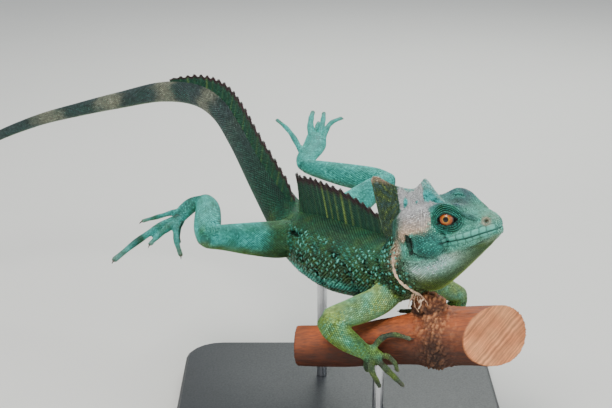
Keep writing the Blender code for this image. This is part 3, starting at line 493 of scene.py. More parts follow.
def mirrored_grid(backs, half, sides):
    """Rings of the head from the right halves of their outlines, which run from below to above."""
    half = np.array([[np.broadcast_to(value, len(backs)) for value in point] for point in half], float)
    half = half.transpose(2, 0, 1)
    outline = np.concatenate((half, half[:, -2:0:-1] * (-1, 1)), axis=1)
    count = outline.shape[1]
    place = np.arange(sides) * count / sides
    i = place.astype(int)
    # A gentler pull than in the tables keeps corners from bulging.
    ring = curve_between(*(outline[:, (i + step) % count] for step in (-1, 0, 1, 2)), (place - i)[None, :, None], 0.42)
    backs = np.broadcast_to(backs[:, None, None], (*ring.shape[:2], 1))
    return on_head(np.concatenate((backs, ring), axis=2))


def head_grid(count=90, sides=72):
    backs, (lip, cheek, cheek_up, ridge, ridge_up, crown) = spread_values(HEAD_ROWS, count)
    half = ((0, -2), (lip * 0.9, -2), (lip, 0.3), (cheek, cheek_up),
            ((cheek + ridge) / 2 + 0.4, (cheek_up + ridge_up) / 2), (ridge, ridge_up),
            (ridge * 0.55, (ridge_up + crown) / 2), (0, crown))
    places = from_head(mirrored_grid(backs, half, sides))
    back, out, rise = np.moveaxis(places, -1, 0)
    places[..., 2] += BROW_ROLL * smooth_step(3, 11, -out) * smooth_step(12, 17, rise) * smooth_step(12, 16, back)
    return on_head(places)


def jaw_grid(count=80, sides=64):
    backs, (lip, depth) = spread_values(JAW_ROWS, count)
    half = ((0, -depth), (lip * 0.55, -depth * 0.9), (lip * 0.93, -depth * 0.52), (lip, -0.6), (lip * 0.9, 2), (0, 2))
    return mirrored_grid(backs, half, sides)


def throat_grid(count=90, sides=72):
    backs, (width, keel) = spread_values(THROAT_ROWS, count)
    depth = keel - THROAT_TOP
    half = ((0, -keel), (width * 0.34, -keel + depth * 0.07), (width * 0.72, -keel + depth * 0.28),
            (width * 0.96, -keel + depth * 0.58), (width, -THROAT_TOP - depth * 0.1),
            (width * 0.7, -THROAT_TOP), (0, -THROAT_TOP))
    return mirrored_grid(backs, half, sides)


def ball_grid(centre, axes, radii, count=24, sides=32):
    """Rings of an egg shape along its first axis."""
    turn = np.linspace(0.06, math.pi - 0.06, count)[:, None]
    angle = turns(sides)
    shares = np.stack(np.broadcast_arrays(-np.cos(turn), np.sin(turn) * np.cos(angle),
                                          np.sin(turn) * np.sin(angle)), axis=-1)
    return centre + (shares * np.asarray(radii)) @ np.asarray(axes)


def digit_grid(joints, width, out, count=44, sides=20):
    share = np.linspace(0, 1, count)
    knuckles = 1.03 + 0.07 * np.cos(share * 6 * math.pi)
    size = (width * (1 - share * (1 - DIGIT_TIP)) * knuckles)[:, None]
    centre, _, side, up = frames_at(joints, spread(joints, count), out)
    angle = turns(sides)
    pad = np.where(np.sin(angle) > 0, 0.92, 0.84)
    grid = rings_round(centre, side, up, size * np.cos(angle), size * np.sin(angle) * pad)
    return rounded_ends(grid, starts=False, reach=0.9)


def skin_parts():
    """Every surface that the skin is made of, as name and grid, in the order of their numbers."""
    parts = [("body", rounded_ends(tube_grid(BODY_ROWS, BODY_STATIONS, 56, UP))),
             ("head", head_grid()), ("jaw", jaw_grid()), ("throat", throat_grid())]
    for side in (1, -1):
        mirror = np.array((1, side, 1))
        parts.append(("jowl", ball_grid(on_head(JOWL_PLACE * mirror), HEAD_AXES, JOWL_SIZE)))
        for path, roll in ((BROW_PATH, BROW_ROLL * (side < 0)), (LIP_PATH, 0)):
            girth = RIDGE_SIZE * np.interp(np.arange(len(path)), (0, 3, len(path) - 1), (0.55, 1, 0.8))
            rows = np.column_stack((on_head(path * mirror + np.array((0, 0, roll))), girth, girth))
            parts.append(("ridge", rounded_ends(tube_grid(rows, 40, 16, (0.1, 0.2, 1)))))
    for name, rows in LIMBS.items():
        parts.append((name, rounded_ends(tube_grid(rows, 60, 36, (0.12, 0.1, 1)), reach=0.7)))
    for name, (palm, out, digits) in FEET.items():
        parts.append((name, rounded_ends(tube_grid(palm, 40, 28, out), reach=0.7)))
        for *joints, width in digits:
            parts.append((name + "_digit", digit_grid(joints, width, out)))
    return parts


# Meshes.

def read(items, key, width, kind=np.float64):
    """One field of mesh data, a row an item."""
    values = np.empty(len(items) * width, dtype=kind)
    items.foreach_get(key, values)
    return values.reshape(-1, width)


def points_of(mesh):
    return read(mesh.vertices, "co", 3) / MM


def edges_of(mesh):
    return read(mesh.edges, "vertices", 2, np.int64)


def normals_of(mesh):
    return read(mesh.vertex_normals, "vector", 3)


def put_points(mesh, points):
    mesh.vertices.foreach_set("co", (points * MM).ravel())
    mesh.update()


def put_values(mesh, name, kind, key, values):
    """A new attribute of the vertices."""
    mesh.attributes.new(name, kind, "POINT").data.foreach_set(key, values)


def set_colours(mesh, colours):
    colours = np.column_stack((np.clip(colours, 0, 1), np.ones(len(colours))))
    put_values(mesh, "marks", "FLOAT_COLOR", "color", colours.astype(np.float32).ravel())


def outward(bm):
    """Turns every face outwards."""
    bm.normal_update()
    bmesh.ops.recalc_face_normals(bm, faces=list(bm.faces))
    return bm


def poured(bm, mesh):
    """Moves the bmesh into a mesh, which is a new one if only a name is given."""
    mesh = bpy.data.meshes.new(mesh) if isinstance(mesh, str) else mesh
    bm.to_mesh(mesh)
    bm.free()
    return mesh


def joined(name, bms):
    """One mesh of several bmeshes."""
    whole = bmesh.new()
    for bm in bms:
        part = poured(bm, "part")
        whole.from_mesh(part)
        bpy.data.meshes.remove(part)
    return poured(whole, name)


def grid_bmesh(grid):
    """A closed tube through the rings of a grid, in metres."""
    stations, sides = grid.shape[:2]
    bm = bmesh.new()
    bmesh.ops.create_grid(bm, x_segments=sides, y_segments=stations - 1, size=1)
    for vert in bm.verts:
        x = round((vert.co.x + 1) / 2 * sides) % sides
        y = round((vert.co.y + 1) / 2 * (stations - 1))
        vert.co = grid[y, x] * MM
    bmesh.ops.remove_doubles(bm, verts=list(bm.verts), dist=WELD)
    bmesh.ops.holes_fill(bm, edges=list(bm.edges), sides=0)
    return outward(bm)


def place_object(name, mesh, *materials):
    obj = bpy.data.objects.new(name, mesh)
    bpy.context.scene.collection.objects.link(obj)
    for finish in materials:
        mesh.materials.append(finish)
    mesh.shade_smooth()
    return obj


def declare(obj, slot, *nodes):
    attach(obj, "root")
    if nodes:
        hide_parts(*nodes)
    return obj


def modified(name, mesh, kind, **values):
    """The mesh as one modifier leaves it."""
    obj = place_object(name, mesh)
    change = obj.modifiers.new("change", kind)
    for key, value in values.items():
        setattr(change, key, value)
    bpy.context.view_layer.update()
    made = bpy.data.meshes.new_from_object(obj.evaluated_get(bpy.context.evaluated_depsgraph_get()))
    bpy.data.objects.remove(obj)
    return made


def rebuilt(name, bms, grain):
    """One closed mesh round all these closed meshes, rebuilt from squares of that size."""
    return modified(name, joined(name, bms), "REMESH", mode="VOXEL", voxel_size=grain, adaptivity=0)


def nearest_of(places, points):
    """The number of the place that is nearest each point."""
    tree = KDTree(len(places))
    for i, place in enumerate(places):
        tree.insert(place, i)
    tree.balance()
    return np.array([tree.find(point)[1] for point in points])


def neighbour_mean(values, edges):
    total = np.zeros_like(values)
    for k in range(values.shape[1]):
        total[:, k] = (np.bincount(edges[:, 0], values[edges[:, 1], k], len(values))
                       + np.bincount(edges[:, 1], values[edges[:, 0], k], len(values)))
    count = np.bincount(edges.ravel(), minlength=len(values))
    return total / np.maximum(count, 1)[:, None]


def relaxed(points, edges, times, weight=None, keep_size=True):
    """Smoothed points. Each second pass pushes back what the first one shrinks."""
    weight = 1.0 if weight is None else weight[:, None]
    for _ in range(times):
        for share in (0.5, -0.53) if keep_size else (0.5,):
            points = points + (neighbour_mean(points, edges) - points) * share * weight
    return points


def refine(mesh, chosen):
    """Splits every face whose vertices are all chosen."""
    bm = bmesh.new()
    bm.from_mesh(mesh)
    edges = {edge for face in bm.faces if all(chosen[v.index] for v in face.verts) for edge in face.edges}
    bmesh.ops.subdivide_edges(bm, edges=list(edges), cuts=1, use_grid_fill=True)
    poured(bm, mesh)


# The head's features, from places behind the tip, out and up.

def right_side(places):
    """The places with the left side of the head laid over the right one."""
    return np.column_stack((places[:, 0], np.abs(places[:, 1]), places[:, 2]))


def eye_view(places):
    """Places seen along the eye's axis: towards the snout, up and out."""
    shifted = right_side(places) - EYE_PLACE
    return shifted @ EYE_LEVEL, shifted @ EYE_UPRIGHT, shifted @ EYE_FACING


def lid_radii(across, tall):
    """How far the opening of the lids and their last fold lie from the eye's middle, in each direction."""
    point = 2 - 0.7 * np.maximum(across, 0)
    rim = ((np.abs(across) / np.where(across > 0, 6.3, 4.9)) ** point + (tall / 3.05) ** point) ** (-1 / point)
    return rim, ((across / np.where(across > 0, 9.8, 8.8)) ** 2 + (tall / 8.2) ** 2) ** -0.5


def lid_lean(x):
    """How far the corners of the lids are lifted or lowered."""
    return np.where(x > 0, -0.22 * np.minimum(x, 8), 0.04 * x)


def lid_distance(x, y):
    """How far outside the almond opening of the lids a place lies, from 0 at the rim to LID_END."""
    y = y - lid_lean(x)
    radius = np.maximum(np.hypot(x, y), 1e-6)
    rim, outer = lid_radii(x / radius, np.abs(y) / radius)
    return (radius - rim) / (outer - rim) * LID_END


def lid_place(angle, distance):
    """The place at each angle round the eye that lies so far outside the opening of the lids."""
    rim, outer = lid_radii(np.cos(angle), np.abs(np.sin(angle)))
    radius = rim + (outer - rim) * distance / LID_END
    x = radius * np.cos(angle)
    return x, radius * np.sin(angle) + lid_lean(x)


def mouth_rise(back):
    """Height of the line of the mouth, which turns down behind the corner."""
    return 1.2 * (1 - smooth_step(4, 18, back)) - 0.014 * np.maximum(back - 30, 0) ** 2


def chin_rise(back, rise):
    """Height over the fold that runs from the chin down to the jowl."""
    return rise + 0.6 + 0.33 * back


def brow_rise(back):
    """Height of the ridge that runs from the brow down to the nostril."""
    return np.interp(back, BROW_PATH[:, 0], BROW_PATH[:, 2])


def jowl_distance(back, rise):
    """1 on the outline of the jowl's bulge, seen from the side."""
    return np.sqrt(((back - 37) / 9.6) ** 2 + ((rise - 1.0) / 7.4) ** 2)


def ear_distance(back, rise):
    """1 on the outline of the ear drum, seen from the side."""
    return np.sqrt(((back - EAR_PLACE[0]) / EAR_SIZE[0]) ** 2 + ((rise - EAR_PLACE[2]) / EAR_SIZE[1]) ** 2)


def nostril_distance(places):
    return np.linalg.norm(right_side(places) - NOSTRIL_PLACE, axis=1)


def lid_weight(x, y, z):
    return (1 - smooth_step(7.5, 10, np.hypot(x, y))) * (z > -3)


def ball_rise(radius, size):
    """Height of a ball's surface over its middle, 0 beside the ball."""
    return np.sqrt(np.maximum(size**2 - radius**2, 0))


def shape_head(points, normals):
    """Lids, nostrils, the line of the mouth, folds and ear drums."""
    places = from_head(points)
    back, out, rise = places.T
    near = (back > -6) & (back < 75) & (np.abs(out) < 24) & (rise > -36) & (rise < 30)
    x, y, z = eye_view(places)
    radius = np.hypot(x, y)
    rim = lid_distance(x, y)
    dome = ball_rise(radius, LID_BALL)
    swollen = z + 0.9 * np.exp(-((radius / 7) ** 2))
    gap = np.clip(0.5 + (dome - swollen) / 2.4, 0, 1)
    lid = swollen * (1 - gap) + dome * gap + 0.6 * gap * (1 - gap)
    for fold in LID_FOLDS:
        lid -= 0.55 * bump_at(rim, fold, 0.3)
    lid += 0.3 * bump_at(rim, 0.3, 0.3)
    inside = 1 - smooth_step(-0.28, 0.05, rim)
    floor = np.where(radius < SOCKET_BALL, ball_rise(radius, SOCKET_BALL) - 0.2, 0.6)
    floor = np.maximum(floor, np.where(x > 4.2, lid - 0.9, -9))
    lid = lid * (1 - inside) + floor * inside
    facing = EYE_FACING * np.column_stack((np.ones_like(out), np.where(out < 0, -1.0, 1.0), np.ones_like(out)))
    points = points + (facing * ((lid - z) * lid_weight(x, y, z) * near)[:, None]) @ HEAD_AXES

    # Nostrils: a raised ring round a hole.
    hole = np.linalg.norm((right_side(places) - NOSTRIL_PLACE) / NOSTRIL_SIZE, axis=1)
    shift = 0.45 * bump_at(hole, 1.7, 0.6) - 1.5 * (1 - smooth_step(0.55, 1.05, hole))
    # The mouth, the hollow under the brow, and the fold that runs from the chin to the jowl.
    along = smooth_step(-3, 0, back) * (1 - 0.7 * smooth_step(29, 32, back)) * (back < 36) * (np.abs(out) > 1)
    shift -= 0.5 * bump_at(rise - mouth_rise(back), 0, 0.3) * along
    shift -= 0.55 * bump_at(rise - brow_rise(back), -2.1, 0.6) * window(back, 9, 12, 22, 26)
    shift -= 0.6 * bump_at(chin_rise(back, rise), 0, 0.5) * window(back, 2, 8, 30, 38) * (rise < -2)
    edge = jowl_distance(back, rise)
    shift += 1.5 * (1 - smooth_step(0.5, 1.05, edge)) - 1.1 * bump_at(edge, 1.1, 0.07) * (rise < 6)
    ear = ear_distance(back, rise)
    shift += (0.5 * bump_at(ear, 1.25, 0.2) - 1.2 * (1 - smooth_step(0.75, 1.05, ear))) * (np.abs(out) > 10)
    # Slack skin behind the jowl.
    slack = window(back, 50, 56, 66, 72) * (rise < 12)
    shift -= 0.5 * slack * np.abs(np.sin(back * 1.1 + rise * 0.15)) ** 3
    return points + normals * (shift * near)[:, None]


def path_distance(x, y, path):
    """How far places lie from a path of straight pieces."""
    nearest = np.full(len(x), 1e9)
    for (x0, y0), (x1, y1) in zip(path[:-1], path[1:]):
        length = (x1 - x0) ** 2 + (y1 - y0) ** 2
        t = np.clip(((x - x0) * (x1 - x0) + (y - y0) * (y1 - y0)) / length, 0, 1)
        nearest = np.minimum(nearest, np.hypot(x - x0 - t * (x1 - x0), y - y0 - t * (y1 - y0)))
    return nearest


def body_place(share):
    """The row of the body at a share of the length of its grid, whose ends are domes."""
    return np.clip((share * BODY_GRID_LAST - DOME_RINGS) / (BODY_STATIONS - 1), 0, 1) * (len(BODY_ROWS) - 1)


def body_share(place):
    """The share of the length of the body's grid at one of its rows."""
    return (place / (len(BODY_ROWS) - 1) * (BODY_STATIONS - 1) + DOME_RINGS) / BODY_GRID_LAST


def body_folds(region):
    """How deep in a fold of the flank each place lies, and how high on the rolls beside it."""
    place = body_place(region[:, 1])
    below = -np.arcsin(np.clip(np.sin(region[:, 2] * 2 * math.pi), -1, 1))
    deep, high = np.zeros(len(place)), np.zeros(len(place))
    long, tall = FOLD_SPACING
    for path in BODY_FOLDS:
        line = path_distance(place * long, below * tall, [(x * long, y * tall) for x, y in path])
        deep = np.maximum(deep, bump_at(line, 0, 1.5))
        high = np.maximum(high, bump_at(line, 3.4, 1.5))
    neck = smooth_step(0.2, 0.5, np.sin(place * 21 + 0.9 * np.sin(region[:, 2] * 4 * math.pi))) * (place < 2.2)
    on_body = region[:, 0] == 0
    return np.maximum(deep, 0.35 * neck) * on_body, high * on_body


def shape_body(points, normals, region):
    """Folds of the flanks, and a roll along the edge of the belly."""
    deep, high = body_folds(region)
    roll = bump_at(np.sin(region[:, 2] * 2 * math.pi), BELLY_EDGE, 0.08) * (region[:, 0] == 0)
    roll *= window(body_place(region[:, 1]), 2.6, 3.4, 5, 6)
    return points + normals * (0.7 * high + 0.9 * roll - 1.7 * deep)[:, None]


def near_detail(points, reach):
    """Where the skin is split finer: round the eyes, the nostrils, the ear drums and the line of the mouth."""
    places = from_head(points)
    back, out, rise = places.T
    out = np.abs(out)
    x, y, z = eye_view(places)
    eye = (np.hypot(x, y) < 10.5 * reach) & (z > -2)
    nose = nostril_distance(places) < 4.5 * reach
    mouth = (np.abs(rise - mouth_rise(back)) < 2.2 * reach) & (back > -3) & (back < 47) & (out < 22)
    ear = ((np.abs(back - EAR_PLACE[0]) < 4 * reach) & (np.abs(rise - EAR_PLACE[2]) < 7 * reach)
           & (out > 8) & (out < 22))
    return eye | nose | mouth | ear


# The markings of skin and scales.

def region_places(points, parts):
    """The number of the part, the share along it and the share round it that is nearest each point."""
    table, labels = [], []
    for number, (_, grid) in enumerate(parts):
        stations, sides = grid.shape[:2]
        for s in range(stations):
            for a in range(0, sides, 2 if sides > 30 else 1):
                table.append(grid[s, a])
                labels.append((number, s / (stations - 1), a / sides))
    return np.array(labels)[nearest_of(table, points)]


def tones_of(*groups):
    """The colours of groups of settings as arrays, by name."""
    return SimpleNamespace(**{name: np.array(getattr(group, name)[:]) for group in groups
                              for name in group.__annotations__ if isinstance(getattr(group, name), Color)})


def mixed(first, second, share):
    share = np.clip(share, 0, 1)[..., None]
    return first * (1 - share) + second * share


def layered(ground, *coats):
    """A colour with others laid over it in turn, each with its share."""
    for colour, share in coats:
        ground = mixed(ground, colour, share)
    return ground


def shed_mask(places, points):
    """Where dry skin still clings: the temple, a band up over the crest, and scraps on the neck."""
    back, out, rise = places.T
    ragged = ripple(points, 5, 11) * 0.8 + ripple(points, 2.2, 12) * 0.35
    temple = 1 - np.abs((back - 43.2) / 10.2) ** 4 - np.abs((rise - 14.6) / 7.0) ** 4 + ragged * 0.14
    band = 1 - np.abs((back - 48.0) / 8.2) ** 4 - np.abs((rise - 24) / 9.5) ** 4 + ragged * 0.2
    bare = bump_at(back, 52, 2.0) * bump_at(rise, 22, 4) + bump_at(back, 45, 1.6) * bump_at(rise, 21, 1.8)
    scrap = 1 - ((back - 51.5) / 2.2) ** 2 - ((rise - 7.5) / 4.4) ** 2 + ragged * 0.2
    neck = 1 - ((back - 59.5 + 0.5 * (rise + 3)) / 2.8) ** 2 - ((rise + 2.5) / 7.4) ** 2 + ragged * 0.3
    mask = np.maximum.reduce((temple, band - 1.3 * bare, scrap, neck))
    return smooth_step(0.0, 0.1, mask) * (out > 0.15)


def shed_colour(places, points, tan):
    """Dry skin, from pinkish tan low on the temple and neck to a greyer white on the crown."""
    white = tan.mean() * np.array((1.16, 1.12, 1.14))
    white_share = smooth_step(8, 17, places[:, 2] + 1.5 * ripple(points, 7, 13))
    return mixed(tan, white, white_share) * (1 + 0.12 * ripple(points, 2.4, 14))[:, None]


class Spots:
    """Places of the skin with what their colours depend on."""

    def __init__(self, points, region, parts, settings):
        self.points, self.region = points, region
        self.names = np.array([name for name, _ in parts])[region[:, 0].astype(int)]
        self.limbs = np.array([name.split("_digit")[0] for name in self.names])
        self.along, self.turn = region[:, 1], region[:, 2]
        self.height = np.sin(self.turn * 2 * math.pi)
        self.places = from_head(points)
        self.tone = tones_of(settings)
        self.noise = [ripple(points, size, seed) for seed, size in enumerate((22, 8, 3.2), start=1)]

    def on(self, *starts):
        """Whether each spot's part has a name that starts like one of these."""
        return np.any([np.char.startswith(self.names, start) for start in starts], axis=0)


def body_colour(at):
    """Trunk and tail, by the station and the height round the ring."""
    tone, height = at.tone, at.height
    coarse, middle, fine = at.noise
    place = body_place(at.along)
    colour = layered(
        tone.green * 0.5, (tone.dark, 0.4 + 0.35 * height + 0.25 * coarse),
        (tone.olive * 0.4, (0.22 + 0.3 * middle - 0.2 * height) * (place < TAIL_START)),
        (tone.brow * (0.36, 0.25, 0.21), smooth_step(6.5, 10, place) * (0.85 + 0.2 * middle)))
    stripe = bump_at(height, BELLY_EDGE, 0.06) * window(place, 2.4, 3.2, 5.2, 6.4)
    wave = np.sin(place * 4.4 + 0.5 * middle) * 0.5 + 0.5
    bands = smooth_step(0.55, 0.85, wave) * smooth_step(8.6, 11, place)
    return layered(
        colour * (1 + 0.35 * smooth_step(-0.1, 0.5, height) * (place < TAIL_START))[:, None],
        (tone.turquoise * 1.1, stripe * (0.65 + 0.3 * middle)),
        (mixed(tone.olive, tone.throat * 0.8, 0.4 + 0.3 * middle), smooth_step(-0.82, -1.0, height) * 0.6),
        (tone.band, bands * (0.6 + 0.2 * fine)),
        # Painted shade in the folds of the flanks.
        (tone.dark * 0.25, body_folds(at.region)[0] * 0.9))


def limb_colour(at):
    """Turquoise hind legs and olive arms, yellowish below."""
    tone = at.tone
    coarse, middle, fine = at.noise
    hind = at.on("thigh", "shin", "foot")
    far = np.char.endswith(at.limbs, "_L")
    lower = at.on("forearm", "hand")
    bluish = tone.turquoise * (1.1, 1.0, 1.15)
    leg = layered(bluish, (tone.green * 0.85, 0.34 + 0.4 * middle + 0.25 * fine),
                  (tone.dark * 0.9, 0.5 * smooth_step(0.45, 0.9, coarse + 0.3 * middle)))
    arm = layered(tone.olive * 1.25, (tone.green * 0.8, 0.05 + 0.25 * coarse + 0.4 * lower),
                  (tone.throat * 0.8, (0.3 - 0.3 * lower) * (0.6 + 0.4 * fine)),
                  (tone.turquoise * 0.85, 0.14 + 0.4 * middle + 0.2 * fine))
    leg = leg * (1 - 0.2 * (at.on("foot") & ~far))[:, None]
    root = at.on("thigh") * (1 - smooth_step(0.4, 0.47, at.along + 0.02 * middle))
    return layered(
        np.where(hind[:, None], leg, arm * (1.16 - 0.28 * lower)[:, None]),
        (tone.olive * 0.95, smooth_step(-0.2, -0.9, at.height) * 0.75),
        # Painted light: the far hind leg is made lighter and bluer, for the light that falls on it from above.
        (bluish * 1.15, (hind & far) * 0.4),
        (mixed(tone.olive * 0.45, tone.green * 0.5, 0.5 + 0.4 * fine), root * 0.85))


def head_colour(at):
    """Turquoise green, with a grey blue brow and snout, bright lips and a teal jowl."""
    tone = at.tone
    back, _, rise = at.places.T
    _, middle, fine = at.noise
    brow = rise - brow_rise(back)
    edge = jowl_distance(back, rise)
    # A painted highlight on the jowl, behind the corner of the mouth.
    painted_highlight = np.exp(-(((back - 34 - 0.7 * rise) / 6.5) ** 2) - (((rise + 0.5) / 3.4) ** 2))
    return layered(
        tone.turquoise * 0.95, (tone.green * 1.15, 0.5 + 0.35 * middle),
        (tone.throat * 0.8, 0.16 + 0.1 * fine),
        (tone.brow * 0.5, smooth_step(14, 19, rise - 0.05 * back) * (0.8 + 0.2 * middle) * (back < 38)),
        (tone.brow * 0.42, bump_at(brow, 0, 1.5) * (back < 38) * (back > 9) * 0.7),
        # Painted shadow under the brow ridge.
        (tone.dark * 0.4, bump_at(brow, -2.0, 0.9) * (back < 28) * (back > 10) * 0.8),
        (tone.throat * (0.68, 0.85, 0.78),
         (1 - smooth_step(1, 9, back)) * smooth_step(3, 6, rise) * (0.4 + 0.4 * fine)),
        (mixed(tone.turquoise * 1.05, tone.throat * 0.8, 0.25), bump_at(rise, 2.4, 2.6) * (back < 40) * 0.8),
        (tone.turquoise * 1.15, bump_at(back, 33, 5) * bump_at(rise, 15, 6) * 0.5),
        (tone.jowl, (1 - smooth_step(0.75, 1.1, edge)) * 0.9 * (rise < 7.8)),
        # Painted highlight on the jowl.
        (tone.turquoise * 0.8, painted_highlight * (0.6 + 0.4 * fine)),
        # Painted shade in the crease round the jowl.
        (tone.dark * 0.3, bump_at(edge, 1.1, 0.1) * (rise < 6) * 0.9),
        (tone.dark * 1.1, smooth_step(46, 56, back) * (rise > 2) * 0.75))


def throat_colour(at):
    """A pale painted highlight in the middle, olive below it, with a yellow keel."""
    tone = at.tone
    back, _, rise = at.places.T
    coarse, middle, _ = at.noise
    # A painted highlight across the middle of the throat.
    painted_highlight = np.exp(-(((back - 42) / 15) ** 2) - (((-rise - 11.5 - 0.1 * (back - 42)) / 5.5) ** 2))
    keel = smooth_step(0.84, 0.97, np.abs(np.abs(at.turn - 0.5) * 2))
    return layered(
        tone.olive * 0.44, (tone.green * 0.5, 0.35 + 0.3 * coarse),
        (mixed(tone.throat * 1.35, tone.turquoise * 1.7, 0.25 + 0.2 * middle), painted_highlight * 1.8),
        (tone.olive * 1.35, keel * (1 - smooth_step(44, 56, back)) * 0.85),
        (tone.green * 0.35, smooth_step(50, 60, back) * 0.8))


def marks(points, region, parts, settings):
    """The colour of each point, from its part and place."""
    at = Spots(points, region, parts, settings)
    tone, names = at.tone, at.names
    back, out, rise = at.places.T
    _, middle, _ = at.noise
    is_head = np.isin(names, ("head", "jaw", "ridge", "jowl"))
    colour = body_colour(at)
    for where, colour_of in ((is_head, head_colour), (names == "throat", throat_colour),
                            (np.isin(at.limbs, (*LIMBS, *FEET)), limb_colour)):
        colour = np.where(where[:, None], colour_of(at), colour)
    jaw, fingers = names == "jaw", np.char.endswith(names, "_digit")
    below = chin_rise(back, rise)
    colour = layered(
        colour,
        (mixed(tone.throat * 0.8, tone.olive, 0.45 + 0.35 * middle),
         smooth_step(0.3, -0.6, below) * (jaw & (back < 34)) * 0.8),
        # Painted shade in the fold that runs from the chin to the jowl.
        (tone.dark * 0.5, bump_at(below, 0, 0.5) * (jaw & (back < 36) & (back > 1)) * 0.7),
        (tone.band * 0.2, fingers * at.on("hand") * (0.66 + 0.3 * middle)),
        (tone.band * 0.8, fingers * smooth_step(0.6, 1, at.along) * 0.5))

    # Lids, mouth, nostrils, ear drums and dry skin, with painted shade in the lids' folds, the line of the mouth, the
    # nostrils' holes and the sunken ear drums.
    x, y, z = eye_view(at.places)
    rim = lid_distance(x, y)
    lids = layered(tone.turquoise, (tone.green * 1.2, 0.35 + 0.3 * middle),
                   # Painted shade in the folds of the lids and round their opening.
                   *((tone.dark * 0.12, bump_at(rim, fold, 0.36) * (1.0 if fold < 4 else 0.8)) for fold in LID_FOLDS),
                   (tone.dark * 0.12, 1 - smooth_step(0.1, 0.5, rim)))
    line = bump_at(rise - mouth_rise(back), 0, 0.4) * is_head * (1 - 0.6 * smooth_step(29, 32, back)) * (back < 36)
    away = nostril_distance(at.places)
    ear = ear_distance(back, rise)
    on_side = (np.abs(out) > 10) & (back < 60)
    colour = layered(
        colour, (lids, lid_weight(x, y, z) * is_head),
        # Painted shade in the line of the mouth.
        (tone.dark * 0.6, line * 0.5),
        (tone.shed * 0.9, bump_at(away, 1.9, 0.9) * 0.6 * is_head),
        # Painted shade in the holes of the nostrils.
        (tone.dark * 0.08, (1 - smooth_step(0.6, 1.0, away)) * is_head),
        # Painted shade in the sunken ear drums and along their front rims.
        (tone.dark * 0.7, (1 - smooth_step(0.7, 1, ear)) * on_side * 0.85),
        (tone.dark * 0.2, bump_at(ear, 1.0, 0.22) * on_side * (back < EAR_PLACE[0] + 1)),
        (shed_colour(at.places, points, tone.shed),
         shed_mask(at.places, points) * (is_head | (names == "body")) * 0.94))
    return np.clip(colour, 0, 1)


# Scales, as one joined mesh from many copies of a small closed shape.

KEELED = (
    np.array(((-0.5, 0, 0.0), (-0.22, 0.5, 0.02), (0.28, 0.42, 0.3), (0.72, 0, 0.62), (0.28, -0.42, 0.3),
              (-0.22, -0.5, 0.02), (-0.22, 0, 0.55), (0.3, 0, 0.95), (0, 0, -0.9))),
    ((0, 1, 6), (1, 2, 6), (2, 7, 6), (2, 3, 7), (3, 4, 7), (4, 6, 7), (4, 5, 6), (5, 0, 6),
     (1, 0, 8), (2, 1, 8), (3, 2, 8), (4, 3, 8), (5, 4, 8), (0, 5, 8)),
)
GRANULE = (
    np.array([(0.5 * math.cos(a), 0.5 * math.sin(a), 0.1) for a in np.arange(6) * math.pi / 3]
             + [(0.3 * math.cos(a + 0.52), 0.3 * math.sin(a + 0.52), 0.62) for a in np.arange(0, 6, 2) * math.pi / 3]
             + [(0, 0, -0.9)]),
    ((0, 1, 6), (1, 2, 6), (2, 3, 7), (3, 4, 7), (4, 5, 8), (5, 0, 8), (2, 7, 6), (4, 8, 7), (0, 6, 8),
     (6, 7, 8), (1, 0, 9), (2, 1, 9), (3, 2, 9), (4, 3, 9), (5, 4, 9), (0, 5, 9)),
)
BEAD = (
    np.array(((-0.5, 0, 0.1), (0, 0.5, 0.1), (0.5, 0, 0.1), (0, -0.5, 0.1), (0, 0, 0.75), (0, 0, -0.9))),
    ((1, 0, 4), (2, 1, 4), (3, 2, 4), (0, 3, 4), (0, 1, 5), (1, 2, 5), (2, 3, 5), (3, 0, 5)),
)


class Coat:
    """The surface of a skin or vane, on which scales come down."""

    def __init__(self, skin):
        mesh = skin.data
        mesh.calc_loop_triangles()
        points = points_of(mesh)
        self.normals = normals_of(mesh)
        self.triangles = read(mesh.loop_triangles, "vertices", 3, np.int64)
        self.tree = BVHTree.FromPolygons([Vector(p) for p in points], self.triangles.tolist())
        self.colours = read(mesh.attributes["marks"].data, "color", 4, np.float32)[:, :3].astype(float)
        self.region = np.zeros(len(points), dtype=np.int64)
        if "part" in mesh.attributes:
            mesh.attributes["part"].data.foreach_get("value", self.region)

    def under(self, face):
        """The mean normal and colour of a triangle."""
        corners = self.triangles[face]
        return self.normals[corners].mean(axis=0), self.colours[corners].mean(axis=0)

    def cast(self, start, way):
        """Where a ray meets the surface, with the normal and colour there, or None."""
        spot, _, face, _ = self.tree.ray_cast(Vector(start), Vector(way))
        return None if spot is None else (np.array(spot), *self.under(face))

    def settle(self, places, reach, parts):
        """Where places come down on the surface, within reach and on one of those parts."""
        found = []
        for i, place in enumerate(places):
            spot, _, face, _ = self.tree.find_nearest(Vector(place), reach)
            if spot is not None and self.region[self.triangles[face][0]] in parts:
                found.append((i, spot, *self.under(face)))
        if not found:
            return None
        kept, spots, normals, colours = zip(*found)
        return np.array(kept), np.array(spots), unit(np.array(normals)), np.array(colours)


def girths(grid):
    return np.linalg.norm(grid - np.roll(grid, 1, axis=1), axis=2).sum(axis=1)


